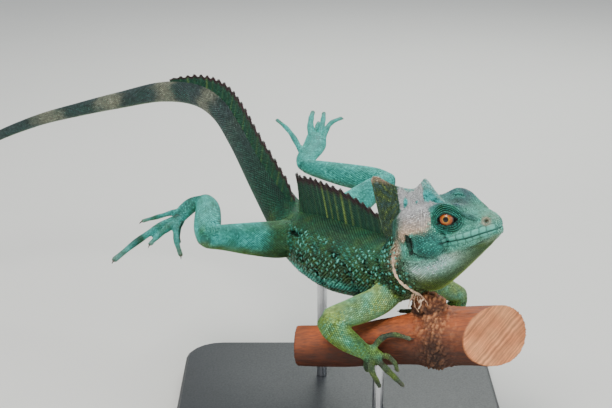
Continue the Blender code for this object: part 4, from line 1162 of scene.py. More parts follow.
def lattice(grid, first, last, around):
    """Staggered places on a grid between two shares of its length: place, way back, width, share along and round."""
    stations, sides = grid.shape[:2]
    steps = np.linalg.norm(np.diff(grid.mean(axis=1), axis=0), axis=1)
    length = np.concatenate(([0], np.cumsum(steps)))
    shares = np.linspace(0, 1, stations)
    girth = girths(grid)
    at, end = np.interp((first, last), shares, length)
    rows = []
    while at < end:
        row = len(rows)
        share = np.interp(at, length, shares)
        pitch = np.interp(share, shares, girth) / around
        turn = (np.arange(around) + 0.5 * (row % 2)) / around
        rows.append(np.column_stack((np.full((around, 1), share), turn, np.full((around, 2), (pitch, row)),
                                     np.arange(around))))
        at += max(pitch * ROW_SPACING, 0.25)
    rows = np.concatenate(rows)
    s, a = rows[:, 0] * (stations - 1), rows[:, 1] * sides
    i, j = np.minimum(s.astype(int), stations - 2), a.astype(int) % sides
    ts, ta = (s - i)[:, None], (a - a.astype(int))[:, None]
    ring, behind = (grid[n, j] * (1 - ta) + grid[n, (j + 1) % sides] * ta for n in (i, i + 1))
    return (ring * (1 - ts) + behind * ts, unit(grid[i + 1, j] - grid[i, j]), rows[:, 2], rows[:, 0],
            rows[:, 1] % 1, rows[:, 3:])


def scale_piece(name, shape, spots, ways, normals, widths, lengths, heights, colours, atlas, finish):
    """One mesh of many scales, whose OFBake map keeps each in a small patch at its root."""
    corners, faces = shape
    count, size = len(spots), len(corners)
    ways = unit(ways - normals * (ways * normals).sum(axis=1, keepdims=True))
    points = spots[:, None]
    for k, (axes, sizes) in enumerate(((ways, lengths), (np.cross(normals, ways), widths), (normals, heights))):
        points = points + axes[:, None] * (corners[None, :, k:k + 1] * sizes[:, None, None])
    mesh = bpy.data.meshes.new(name)
    indices = (np.array(faces)[None] + (np.arange(count) * size)[:, None, None]).reshape(-1)
    mesh.vertices.add(count * size)
    mesh.vertices.foreach_set("co", (points * MM).ravel())
    mesh.loops.add(len(indices))
    mesh.loops.foreach_set("vertex_index", indices)
    mesh.polygons.add(len(indices) // 3)
    mesh.polygons.foreach_set("loop_start", np.arange(0, len(indices), 3))
    mesh.update(calc_edges=True)
    mesh.validate()
    # Painted shade and highlight: each scale is darker towards its rim and underside, standing in for the shade in the
    # gaps between scales, and lighter at its top.
    shade = 0.3 + 0.95 * np.clip(corners[:, 2], 0, 0.8) / 0.8
    set_colours(mesh, (np.clip(colours, 0, 1)[:, None] * shade[None, :, None]).reshape(-1, 3))
    pairs = (atlas[:, None] + corners[None, :, :2] * PATCH_SIZE).reshape(-1, 2)[indices]
    mesh.uv_layers.new(name="OFBake").data.foreach_set("uv", pairs.ravel())
    return place_object(name, mesh, finish)


# Finishes.

def node_group(name, inputs, outputs):
    group = bpy.data.node_groups.new(name, "ShaderNodeTree")
    for label, kind, value in inputs:
        socket = group.interface.new_socket(name=label, in_out="INPUT", socket_type=kind)
        if value is not None:
            socket.default_value = value
    for label, kind in outputs:
        group.interface.new_socket(name=label, in_out="OUTPUT", socket_type=kind)
    return group, group.nodes.new("NodeGroupInput").outputs, group.nodes.new("NodeGroupOutput").inputs


def add(tree, kind, links=None, output=0, **values):
    """An output of a new node. Its settings are given by name, and its inputs by name or number in links."""
    node = tree.nodes.new(kind)
    for key, value in values.items():
        setattr(node, key, value)
    for key, value in (links or {}).items():
        if isinstance(value, bpy.types.NodeSocket):
            tree.links.new(value, node.inputs[key])
        else:
            node.inputs[key].default_value = value
    return node.outputs[output]


def object_places(tree):
    return add(tree, "ShaderNodeTexCoord", output="Object")


def drawn(tree, name="marks", output="Color"):
    """A colour or number that lies on the mesh."""
    return add(tree, "ShaderNodeAttribute", output=output, attribute_name=name)


def noise(tree, where, scale, **more):
    """A cloudy pattern, with more inputs by name."""
    links = {"Vector": where, "Scale": scale} | {key.title(): value for key, value in more.items()}
    return add(tree, "ShaderNodeTexNoise", links, "Fac")


def mapped(tree, where, **more):
    return add(tree, "ShaderNodeMapping", {"Vector": where} | {key.title(): value for key, value in more.items()})


def worked(tree, operation, *values):
    """One step of arithmetic on numbers."""
    return add(tree, "ShaderNodeMath", dict(enumerate(values)), operation=operation)


def scaled(tree, colour, factor):
    """A colour or place times a number."""
    return add(tree, "ShaderNodeVectorMath", {0: colour, "Scale": factor}, operation="SCALE")


def ranged(tree, value, low, high, first, last, **values):
    """A number from low to high, turned into one from first to last."""
    return add(tree, "ShaderNodeMapRange",
               {"Value": value, "From Min": low, "From Max": high, "To Min": first, "To Max": last}, **values)


def mottle_group():
    """A colour, made unevenly lighter and darker over the surface."""
    if "mottle" in bpy.data.node_groups:
        return bpy.data.node_groups["mottle"]
    group, start, end = node_group(
        "mottle", (("Color", "NodeSocketColor", None), ("Scale", "NodeSocketFloat", 300.0),
                   ("Amount", "NodeSocketFloat", 0.3)), (("Color", "NodeSocketColor"), ("Mask", "NodeSocketFloat")))
    cloud = noise(group, object_places(group), start["Scale"], detail=6.0, roughness=0.62)
    centred = worked(group, "SUBTRACT", cloud, 0.5)
    factor = worked(group, "MULTIPLY_ADD", centred, start["Amount"], 1.0)
    group.links.new(scaled(group, start["Color"], factor), end["Color"])
    group.links.new(cloud, end["Mask"])
    return group


def pebble_group():
    """Heights of small rounded grains that lie close, and a mask of the lines between them."""
    if "pebbles" in bpy.data.node_groups:
        return bpy.data.node_groups["pebbles"]
    group, start, end = node_group("pebbles", (("Scale", "NodeSocketFloat", 1400.0),),
                                   (("Height", "NodeSocketFloat"), ("Lines", "NodeSocketFloat")))
    edge = add(group, "ShaderNodeTexVoronoi", {"Vector": object_places(group), "Scale": start["Scale"]}, "Distance",
               feature="DISTANCE_TO_EDGE")
    group.links.new(ranged(group, edge, 0, 0.35, 0, 1, interpolation_type="SMOOTHSTEP"), end["Height"])
    group.links.new(ranged(group, edge, 0, 0.09, 1, 0), end["Lines"])
    return group


def grouped(tree, group, outputs, **links):
    """The named outputs of a new node that holds a group."""
    node = add(tree, "ShaderNodeGroup", {key.title(): value for key, value in links.items()}, node_tree=group).node
    return [node.outputs[name] for name in outputs]


def mottled(tree, colour, scale, amount):
    """An uneven colour, and the mask of its unevenness."""
    if not isinstance(colour, bpy.types.NodeSocket):
        tone = add(tree, "ShaderNodeRGB")
        tone.default_value = (*colour, 1)
        colour = tone
    return grouped(tree, mottle_group(), ("Color", "Mask"), color=colour, scale=scale, amount=amount)


def finish_of(name, **plain):
    """A new material and its tree, with values set on the shader's own sockets."""
    made = bpy.data.materials.new(name)
    made.use_nodes = True
    shader = made.node_tree.nodes["Principled BSDF"]
    for key, value in plain.items():
        shader.inputs[key.replace("_", " ").title().replace("Ior", "IOR")].default_value = value
    return made, made.node_tree


def dress(tree, colour, gloss=None, height=None, strength=0.0, distance=0.0):
    """Gives the shader its colour, and its roughness and relief if there are any."""
    inputs = tree.nodes["Principled BSDF"].inputs
    tree.links.new(colour, inputs["Base Color"])
    if gloss is not None:
        tree.links.new(gloss, inputs["Roughness"])
        bump = add(tree, "ShaderNodeBump", {"Height": height, "Strength": strength, "Distance": distance})
        tree.links.new(bump, inputs["Normal"])


def skin_finish(name, gap_shade, roughness, relief, grain):
    """Scaly hide that takes its markings from the marks attribute. Its colour may be scaled down as painted shade in
    the gaps between scales, and is made darker as painted shade in the grooves between its grains.
    """
    made, tree = finish_of(name, specular_ior_level=0.32)
    colour, mask = mottled(tree, scaled(tree, drawn(tree), gap_shade), 420.0, 0.7)
    height, lines = grouped(tree, pebble_group(), ("Height", "Lines"), scale=grain)
    # Painted shade in the grooves between the grains.
    groove_shade = worked(tree, "MULTIPLY_ADD", lines, -0.35, 1.0)
    gloss = ranged(tree, mask, 0.3, 0.7, roughness - 0.1, roughness + 0.12)
    dress(tree, scaled(tree, colour, groove_shade), gloss, height, relief, 0.00012)
    return made


def eye_finish(settings):
    """A wet orange iris round a black pupil, by distance from the middle of its own map."""
    made, tree = finish_of("wet_eye", roughness=0.3, coat_weight=0.22, coat_roughness=0.02)
    spot = add(tree, "ShaderNodeUVMap", uv_map="Iris")
    centred = add(tree, "ShaderNodeVectorMath", {0: spot, 1: (0.5, 0.5, 0.0)}, operation="SUBTRACT")
    radius = add(tree, "ShaderNodeVectorMath", {0: centred}, "Value", operation="LENGTH")
    split = add(tree, "ShaderNodeSeparateXYZ", {0: centred}).node.outputs
    angle = worked(tree, "ARCTAN2", split["Y"], split["X"])
    spun = add(tree, "ShaderNodeCombineXYZ", {"X": angle, "Y": radius})
    fibres = noise(tree, mapped(tree, spun, scale=(5.0, 6.0, 1.0)), 2.6, detail=5.0)
    wander = worked(tree, "MULTIPLY_ADD", fibres, 0.045, -0.022)
    ramp = add(tree, "ShaderNodeValToRGB", {0: worked(tree, "ADD", radius, wander)})
    across = 2 * EYE_RADIUS * MM
    pupil, iris = settings.pupil_radius / across, settings.iris_radius / across
    stops = ((0.0, PUPIL_BLACK), (pupil - 0.006, PUPIL_BLACK), (pupil + 0.012, settings.iris_glow[:]),
             (pupil + 0.07, settings.iris[:]), (iris - 0.05, [c * 0.7 for c in settings.iris]),
             (iris - 0.006, (0.05, 0.012, 0.003)), (iris + 0.02, (0.006, 0.005, 0.004)))
    elements = ramp.node.color_ramp.elements
    while len(elements) < len(stops):
        elements.new(0.5)
    for element, (place, colour) in zip(elements, stops):
        element.position = place
        element.color = (*colour, 1)
    dress(tree, scaled(tree, ramp, ranged(tree, fibres, 0.35, 0.6, 0.45, 1.15)))
    return made


def claw_finish(settings):
    made, tree = finish_of("dark_horn", roughness=0.32, coat_weight=0.3)
    dress(tree, mottled(tree, settings.horn, 900.0, 1.2)[0])
    return made


def wood_finish():
    """Wood and bark, from the marks attribute, with fibres along the log and a rough relief."""
    made, tree = finish_of("peeled_log")
    where = object_places(tree)
    fibre = noise(tree, mapped(tree, where, rotation=(0, 0, 0.16), scale=(60.0, 900.0, 900.0)), 1.0, detail=5.0)
    across = add(tree, "ShaderNodeVectorMath", {0: where, 1: tuple(SAW_WAY)}, "Value", operation="DOT_PRODUCT")
    place = worked(tree, "MULTIPLY_ADD", across, 360.0, noise(tree, where, 90.0))
    teeth = add(tree, "ShaderNodeTexNoise", {"W": place, "Scale": 1.6, "Detail": 4.0}, "Fac", noise_dimensions="1D")
    lines = add(tree, "ShaderNodeMix", {"Factor": drawn(tree, "sawn", "Fac"), "A": fibre, "B": teeth},
                data_type="FLOAT")
    colour = scaled(tree, mottled(tree, drawn(tree), 140.0, 0.9)[0], ranged(tree, lines, 0.35, 0.65, 0.66, 1.24))
    dress(tree, colour, ranged(tree, lines, 0, 1, 0.45, 0.9), lines, 0.6, 0.0004)
    return made


def stand_finish(name, colour, metallic, roughness, scale, stretch):
    """Painted or brushed metal, with fine grain and slight wear."""
    made, tree = finish_of(name, metallic=metallic)
    grain = noise(tree, mapped(tree, object_places(tree), scale=stretch), scale, detail=4.0)
    gloss = ranged(tree, grain, 0.3, 0.7, roughness - 0.08, roughness + 0.12)
    dress(tree, mottled(tree, colour, 60.0, 0.5)[0], gloss, grain, 0.15, 0.0002)
    return made


# Operators.

class BASILISK_OT_skin(bpy.types.Operator):
    """One skin over the head, trunk, tail, limbs and feet"""
    bl_idname = "basilisk.skin"
    bl_label = "Skin"

    def execute(self, context):
        settings = context.scene.basilisk_skin
        parts = skin_parts()
        mesh = rebuilt("skin", [grid_bmesh(grid) for _, grid in parts], settings.grain)
        edges = edges_of(mesh)
        points = relaxed(points_of(mesh), edges, 5)
        places = from_head(points)
        joins = np.zeros(len(points))
        for centre, reach in JOINS:
            away = np.linalg.norm(points - np.array(centre), axis=1)
            joins = np.maximum(joins, 1 - smooth_step(reach * 0.6, reach * 1.3, away))
        joins *= 1 - ((places[:, 0] < 44) & (places[:, 2] > -20))
        points = relaxed(points, edges, 14, weight=joins, keep_size=False)
        put_points(mesh, points)
        put_points(mesh, points - normals_of(mesh) * settings.inset / MM)
        mesh = modified("thinned", mesh, "DECIMATE", ratio=settings.kept)
        mesh.name = "skin"
        for reach in (1.0, 0.92):
            refine(mesh, near_detail(points_of(mesh), reach))
        points = points_of(mesh)
        edges = edges_of(mesh)
        points = relaxed(points, edges, 3, weight=near_detail(points, 1.1).astype(float))
        put_points(mesh, points)
        points = shape_head(points, normals_of(mesh))
        put_points(mesh, points)
        region = region_places(points, parts)
        points = shape_body(points, normals_of(mesh), region)
        put_points(mesh, points)
        colours = marks(points, region, parts, settings)
        sharp = near_detail(points, 1.0).astype(float)[:, None]
        for _ in range(3):
            colours = colours * (0.4 + 0.6 * sharp) + neighbour_mean(colours, edges) * 0.6 * (1 - sharp)
        set_colours(mesh, colours)
        put_values(mesh, "part", "INT", "value", region[:, 0].astype(np.int32))
        # The hide is scaled to 0.42 of its colour as painted shade in the gaps between the scales that lie over it.
        obj = place_object("skin", mesh, skin_finish("hide", 0.42, 0.55, 0.6, 1500.0))
        declare(obj, "skin", *FLESH)
        return {"FINISHED"}


class BASILISK_OT_scales(bpy.types.Operator):
    """Scales in staggered rows over the skin"""
    bl_idname = "basilisk.scales"
    bl_label = "Scales"

    def execute(self, context):
        settings = context.scene.basilisk_scales
        parts = skin_parts()
        coat = Coat(bpy.data.objects["skin"])
        finish = skin_finish("scales", 1.0, 0.42, 0.15, 4000.0)
        draw = np.random.default_rng(5)
        turquoise = tones_of(context.scene.basilisk_skin).turquoise

        def gather(number, first, last, around, patch, reach=2.2):
            """Columns of numbers for the scales of one part, in a list that is empty if there are none."""
            left, low, wide, tall = patch
            here, ways, pitch, along, turn, order = lattice(parts[number][1], first, last, around)
            found = coat.settle(here, reach, (number,))
            if found is None:
                return []
            kept, spots, normals, colours = found
            atlas = np.column_stack((left + wide * along[kept], low + tall * turn[kept]))
            return [(spots, ways[kept], normals, pitch[kept], colours, atlas, order[kept], turn[kept])]

        def round_body(reach, *sections):
            """Rows round the body from one of its rows to another, with so many scales to a ring."""
            return [entry for start, end, around in sections
                    for entry in gather(0, body_share(start), body_share(end), around, BODY_PATCH, reach)]

        def make(name, found, shape, stretch, rise, flecks=0.0):
            spots, ways, normals, pitch, colours, atlas, order, turn = (np.concatenate(c) for c in zip(*found))
            tint = colours * np.exp(draw.normal(0.04, 0.24, len(spots)))[:, None]
            if flecks:
                row, column = order.T
                lit = (row % 2 == 0) & ((column + row // 2) % 3 < 2)
                high = smooth_step(0.35, 0.9, np.sin(turn * 2 * math.pi))
                cloud = np.clip(0.45 + 0.5 * ripple(spots, 15, 7) + 0.3 * ripple(spots, 5, 8), 0.05, 1)
                tint = mixed(tint, turquoise * 0.95,
                             lit * cloud * flecks * (1 - high) * draw.uniform(0.7, 1, len(spots)))
            declare(scale_piece(name, shape, spots, ways, normals, pitch * 1.04, pitch * stretch,
                                pitch * (settings.rise * rise), tint, atlas, finish), "skin")

        make("trunk_scales", round_body(2.6, (0.0, 3.0, 78), (3.0, 5.2, 78), (5.2, TAIL_START, 66)),
             KEELED, 1.12, 1.2, 0.35)
        self.dashes(round_body(2.6, (0.6, 6.4, 78))[0], turquoise, finish)
        make("tail_scales", round_body(2.2, (TAIL_START, 9.0, 44), (9.0, 11.0, 38), (11.0, 13.0, 32),
                                       (13.0, 15.0, 26), (15.0, 17.0, 20), (17.0, 18.5, 14), (18.5, 20.0, 8)),
             KEELED, 1.2, 1.0, 0.12)
        pitch = settings.head_pitch / MM
        count = int(HEAD_GIRTH / pitch)
        rows = {"head": (0.02, 0.99, count), "jaw": (0.02, 0.99, int(count * 0.8)), "jowl": (0.1, 0.95, 40),
                "throat": (0.02, 0.99, int(count * 0.94)), "ridge": (0.04, 0.96, 14)}
        faces, throat = [], []
        for number, (name, _) in enumerate(parts):
            if name in rows:
                found = gather(number, *rows[name], (0.62, 0.02 + 0.11 * (number % 8), 0.3, 0.09))
                (throat if name == "throat" else faces).extend(found)
        faces.append(self.front_rows(coat, pitch))
        make("head_scales", [self.clear_of_lids(entry) for entry in faces], GRANULE, 1.04, 0.95)
        make("throat_scales", throat, GRANULE, 1.1, 1.25)
        make("lid_scales", [self.lid_rows(coat)], BEAD, 1.25, 1.0)
        keeled = (KEELED, settings.limb_pitch, 0.9, 0.4, (0.02, 0.04, 12, 0.5, 0.035))
        grained = (GRANULE, settings.digit_pitch, 0.8, 0.0, (0.54, 0.02, 30, 0.3, 0.018))
        for label, starts, (shape, pitch, rise, flecks, (left, step, steps, wide, tall)) in (
            ("arm_scales", ("upper_arm", "forearm"), keeled), ("leg_scales", ("thigh", "shin"), keeled),
            ("hand_scales", "hand", grained), ("foot_scales_R", "foot_R", grained),
            ("foot_scales_L", "foot_L", grained),
        ):
            found = []
            for number, (name, grid) in enumerate(parts):
                if name.startswith(starts):
                    count = int(girths(grid).max() / (pitch / MM))
                    found += gather(number, 0.03, 0.97, count, (left, 0.34 + step * (number % steps), wide, tall))
            make(label, found, shape, 1.1, rise, flecks)
        return {"FINISHED"}

    @staticmethod
    def dashes(found, turquoise, finish):
        """Bright upright scales, each as tall as three others, in broken rows over the flanks."""
        spots, ways, normals, pitch, _, atlas, order, turn = found
        row, column = order.T
        height = np.sin(turn * 2 * math.pi)
        place = body_place((atlas[:, 0] - BODY_PATCH[0]) / BODY_PATCH[2])
        patch = 0.62 + 0.36 * ripple(spots, 17, 7) + 0.25 * ripple(spots, 6, 8) + 0.35 * bump_at(height, -0.25, 0.35)
        patch += 0.7 * bump_at(height, 0.02, 0.16) * bump_at(place, 2.8, 0.6) - 0.5 * smooth_step(5.0, 6.2, place)
        draw = np.random.default_rng(17)
        chosen = ((row % 2 == 0) & ((column + row // 2 + row // 8) % 3 == 0)
                  & (patch > draw.uniform(0.15, 0.75, len(row))) & (height < 0.62) & (height > -0.9))
        bright = (np.clip(patch, 0.4, 1) * draw.uniform(0.75, 1.15, len(row)))[chosen]
        spots, ways, normals, pitch, atlas = (values[chosen] for values in (spots, ways, normals, pitch, atlas))
        across = np.cross(normals, ways) + ways * draw.normal(0.12, 0.12, len(spots))[:, None]
        pale = mixed(turquoise * 0.85, DASH_PALE, 0.2 * bright)
        size = pitch * draw.uniform(0.9, 1.15, len(spots))
        declare(scale_piece("flank_dashes", GRANULE, spots, across, normals, size * 1.2, size * 2.0, size * 0.4,
                            pale * bright[:, None], atlas, finish), "skin")

    @staticmethod
    def front_rows(coat, pitch):
        """Scales over the blunt front of the snout and chin, which the rows round the head don't reach."""
        rows = []
        for k, rise in enumerate(np.arange(-4.0, 10.0, pitch * ROW_SPACING)):
            for out in np.arange(-6.0, 6.0, pitch) + pitch * 0.5 * (k % 2):
                found = coat.cast(on_head((-20, out, rise)), HEAD_AXES[0])
                if found is not None and from_head(found[0])[0] <= 1.2:
                    spot, normal, colour = found
                    rows.append((spot, HEAD_AXES[2], unit(normal), pitch, colour, (0.94, 0.3 + 0.001 * len(rows)),
                                 (k, len(rows)), 0.0))
        return tuple(np.array(column) for column in zip(*rows))

    @staticmethod
    def lid_rows(coat):
        """Rows of small scales on the rolls between the folds of the lids."""
        rows = []
        for mirror in np.array(((1, 1, 1), (1, -1, 1))):
            for ring, far in enumerate((0.3, 1.3, 2.5, 3.7, 4.85)):
                count = 34 + 9 * ring
                x, y = lid_place(turns(count, 0.5 * (ring % 2)), far)
                places = np.outer(x, EYE_LEVEL) + np.outer(y, EYE_UPRIGHT)
                ways = (np.roll(places, -1, axis=0) - places) * mirror
                for k in range(count):
                    found = coat.cast(on_head((EYE_PLACE + places[k] + EYE_FACING * 16) * mirror),
                                      -(EYE_FACING * mirror) @ HEAD_AXES)
                    if found is not None:
                        spot, normal, colour = found
                        rows.append((spot, ways[k] @ HEAD_AXES, unit(normal), min(np.linalg.norm(ways[k]), 0.85),
                                     colour, (0.94, 0.02 + 0.004 * (ring * 40 + k)), (ring, k), k / count))
        return tuple(np.array(column) for column in zip(*rows))

    @staticmethod
    def clear_of_lids(entry):
        """The scales that lie clear of the lids, nostrils, mouth and lip plates."""
        places = from_head(entry[0])
        x, y, z = eye_view(places)
        back, line = places[:, 0], places[:, 2] - mouth_rise(places[:, 0])
        plated = ((line > -lower_lip(back) - 0.2) & (line < upper_lip(back) + 0.2)
                  & (back > 0.8) & (back < LIP_END + 0.3))
        keep = (((lid_distance(x, y) > 5.1) | (z < -2)) & (nostril_distance(places) > 1.5) & ~plated
                & ((np.abs(line) > 0.5) | (back > 44)))
        return tuple(column[keep] for column in entry)


def upper_lip(back):
    """Height of the plates of the upper lip."""
    return 3.9 - 1.5 * smooth_step(14, 31, back)


def lower_lip(back):
    """Height of the plates of the lower lip."""
    return 1.9 + 0.4 * smooth_step(8, 30, back) - 0.9 * (1 - smooth_step(0, 6, back))


class BASILISK_OT_lips(bpy.types.Operator):
    """Large smooth plates along the upper and lower lips"""
    bl_idname = "basilisk.lips"
    bl_label = "Lip plates"

    def execute(self, context):
        coat = Coat(bpy.data.objects["skin"])
        draw = np.random.default_rng(9)
        plates = []
        for side in (1, -1):
            for sign, height in ((1, upper_lip), (-1, lower_lip)):
                bounds = np.linspace(1.0, LIP_END, LIP_PLATES + 1)
                bounds[1:-1] += draw.uniform(-0.35, 0.35, LIP_PLATES - 1)
                for first, last in zip(bounds[:-1], bounds[1:]):
                    plates.append(self.plate(coat, side, sign, height, first, last, draw.uniform(-0.3, 0.3)))
        mesh = joined("lip_plates", plates)
        points = points_of(mesh)
        colours = np.array([coat.under(coat.tree.find_nearest(Vector(p))[2])[1] for p in points])
        tint = tones_of(context.scene.basilisk_skin).turquoise * 0.8
        set_colours(mesh, mixed(colours, tint, 0.22 + 0.2 * ripple(points, 4, 15)) * 0.88)
        declare(place_object("lip_plates", mesh, skin_finish("lip_plate", 1.0, 0.34, 0.1, 5000.0)), "skin")
        return {"FINISHED"}

    @staticmethod
    def plate(coat, side, sign, height, first, last, lean):
        """One plate between two distances behind the mouth's tip."""
        bm = bmesh.new()
        bmesh.ops.create_grid(bm, x_segments=8, y_segments=6, size=1)
        inward = -side * HEAD_AXES[1]
        for vert in bm.verts:
            x, y = vert.co.x, vert.co.y
            dome = (1 - abs(x) ** 4) * (1 - abs(y) ** 4)
            corner = 1 - 0.06 * x * x * y * y
            share = (y * corner * 0.93 + 1) / 2
            back = (first + last) / 2 + (last - first) / 2 * x * 0.975 * corner + (lean - 0.5) * (share - 0.5)
            rise = float(mouth_rise(back)) + sign * (0.16 + share * (float(height(back)) - 0.16))
            spot, normal, _ = coat.cast(on_head((back, side * 40, rise)), inward)
            vert.co = (spot + unit(normal - 1.5 * inward) * (0.32 * dome - 0.1)) * MM
        made = bmesh.ops.extrude_face_region(bm, geom=list(bm.faces))
        moved = [v for v in made["geom"] if isinstance(v, bmesh.types.BMVert)]
        bmesh.ops.translate(bm, verts=moved, vec=Vector(inward) * 0.5 * MM)
        return outward(bm)


class BASILISK_OT_shed(bpy.types.Operator):
    """Dry skin that hangs from the neck in a ribbon and flakes"""
    bl_idname = "basilisk.shed"
    bl_label = "Shed skin"

    def execute(self, context):
        strips = []
        for number, (path, width, hint, count) in enumerate(
                ((on_head(SHED_RIBBON), 0.75, (0.3, -1, 0.2), 60),
                 *((np.array(path, float), width, (1, 0.3, 0.4), 24) for *path, width in SHED_FLAKES))):
            sizes = np.full((len(path), 2), (width, 0.13))
            sizes[-1, 0] *= 0.35
            grid = tube_grid(np.column_stack((path, sizes)), count, 14, hint)
            middle = grid.mean(axis=1, keepdims=True)
            share = np.arange(count) / count
            swell = 1 + 0.3 * np.sin(share * 23 + number) + 0.18 * np.sin(share * 51)
            curl = 0.35 * np.sin(share * 15 + number)[:, None, None]
            grid = middle + (grid - middle) * swell[:, None, None]
            lift = np.linalg.norm(grid - middle, axis=2, keepdims=True) ** 2
            grid = grid + unit(np.asarray(hint, float)) * curl * lift * 0.4
            strips.append(grid_bmesh(rounded_ends(grid, reach=0.3)))
        mesh = joined("shed_skin", strips)
        pale = tones_of(context.scene.basilisk_skin).shed
        set_colours(mesh, pale * (1 + 0.2 * ripple(points_of(mesh), 3, 61))[:, None])
        declare(place_object("shed_skin", mesh, skin_finish("dry_skin", 1.0, 0.6, 0.4, 2200.0)), "throat_skin")
        return {"FINISHED"}


class BASILISK_OT_eyes(bpy.types.Operator):
    """Wet orange eyes with a slightly bulging cornea"""
    bl_idname = "basilisk.eyes"
    bl_label = "Eyes"

    def execute(self, context):
        finish = eye_finish(context.scene.basilisk_eye)
        for name, side in (("eye_R", 1), ("eye_L", -1)):
            facing = (EYE_FACING * (1, side, 1)) @ HEAD_AXES
            centre = on_head(EYE_PLACE * (1, side, 1))
            level = unit(np.cross(HEAD_AXES[2], facing))
            upright = np.cross(facing, level)
            bm = bmesh.new()
            bmesh.ops.create_uvsphere(bm, u_segments=72, v_segments=56, radius=EYE_RADIUS)
            layer = bm.loops.layers.uv.new("Iris")
            # The back of the eye lies five widths further up its map, where there is no iris.
            flat = {vert: (0.5 + vert.co.x / (2 * EYE_RADIUS), 0.5 + vert.co.y / (2 * EYE_RADIUS)
                           + (0 if vert.co.z > 0 else 5)) for vert in bm.verts}
            for vert in bm.verts:
                x, y, z = vert.co
                bulge = 0.3 * max(0, 1 - (x * x + y * y) / CORNEA_RADIUS**2) if z > 0 else 0
                vert.co = (centre + level * x + upright * y + facing * (z + bulge)) * MM
            for face in bm.faces:
                for loop in face.loops:
                    loop[layer].uv = flat[loop.vert]
            mesh = poured(outward(bm), "eyeball_" + name[-1])
            declare(place_object(mesh.name, mesh, finish), "eye", name)
        return {"FINISHED"}


def crest_grid(stations=150, layers=26):
    """The head's crest as rings of points, up its right face and down its left."""
    backs, (top, foot, root) = spread_values(HEAD_CREST_ROWS, stations)
    share = np.linspace(0, 1, layers)[None]
    half = root[:, None] * (1 - share) ** 1.5 + 0.45 * (0.6 + 0.4 * (1 - share))
    wander = 0.25 * np.sin(backs[:, None] * 1.9 + share * 5) + 0.18 * np.sin(backs[:, None] * 4.3 - share * 9)
    half = half + 0.3 * wander * share * (half > 0.4)
    notch = 0.35 * np.abs(np.sin(backs * 2.6)) + 0.2 * np.sin(backs * 7.1)
    height = foot[:, None] + (top - foot - 0.4 + notch * 0.5)[:, None] * share
    back = np.broadcast_to(backs[:, None], half.shape)
    sway = 0.5 * np.sin(backs * 0.35)[:, None] * share**2
    right, left = (on_head(np.stack((back, side * half + sway, height), axis=-1)) for side in (1, -1))
    return np.concatenate((right, left[:, ::-1]), axis=1)


def sail_grid(rows, rays, lean):
    """A sail as rings of points, its middle surface, and how much of a ray each ring is."""
    places, (height,) = spread_values(rows, rays * RAY_STATIONS + 1)
    centre, forward, side, up = frames_at(BODY_ROWS, places, UP)
    crown = rows_at(BODY_ROWS, places)[:, 4]
    sink = np.minimum(6, crown * 0.6)
    phase = (np.arange(len(places)) / RAY_STATIONS) % 1
    ray = bump_at(phase, 0.5, 0.12)
    tip = np.minimum(1.9, 0.34 * height) * bump_at(phase, 0.42, 0.2) - 0.5 * (height > 3)
    share = np.linspace(0, 1, SAIL_LAYERS)[None]
    root = np.minimum(2.2, 0.5 * height + 0.4)[:, None]
    half = (root * (1 - share) ** 1.6 + 0.3 + 0.36 * ray[:, None] * (1 - share * 0.7))[..., None]
    folds = 0.22 * np.sin(phase * 2 * math.pi)[:, None] * share
    rise = (crown - sink)[:, None] + (height + sink)[:, None] * share + tip[:, None] * share**3
    slant = forward[:, None] * (np.maximum(rise - crown[:, None], 0) * lean)[..., None]
    sway = (0.7 * np.sin(places * 2.1)[:, None] * share + folds)[..., None]
    spine = centre[:, None] + up[:, None] * rise[..., None] + slant + side[:, None] * sway
    return np.concatenate((spine + side[:, None] * half, (spine - side[:, None] * half)[:, ::-1]), axis=1), spine, ray


def vane_mesh(name, grid):
    """A closed thin vane through rings of points."""
    bm = grid_bmesh(grid)
    bmesh.ops.triangulate(bm, faces=[f for f in bm.faces if len(f.verts) > 4])
    return poured(bm, name)


def vane_scales(name, vane, grid, around, rise, finish):
    """Small scales in rows over both faces of a crest or sail."""
    here, ways, pitch, along, turn, _ = lattice(grid, 0.01, 0.99, around)
    kept, spots, normals, colours = Coat(vane).settle(here, 1.5, (0,))
    draw = np.random.default_rng(around)
    tint = colours * np.exp(draw.normal(0.1, 0.25, len(kept)))[:, None]
    atlas = np.column_stack((0.02 + 0.9 * along[kept], 0.02 + 0.9 * turn[kept]))
    width = pitch[kept] * draw.uniform(0.9, 1.2, len(kept))
    declare(scale_piece(name, BEAD, spots, ways[kept], normals, width, width * 1.1, width * rise * 0.4, tint, atlas,
                        finish), "crest")


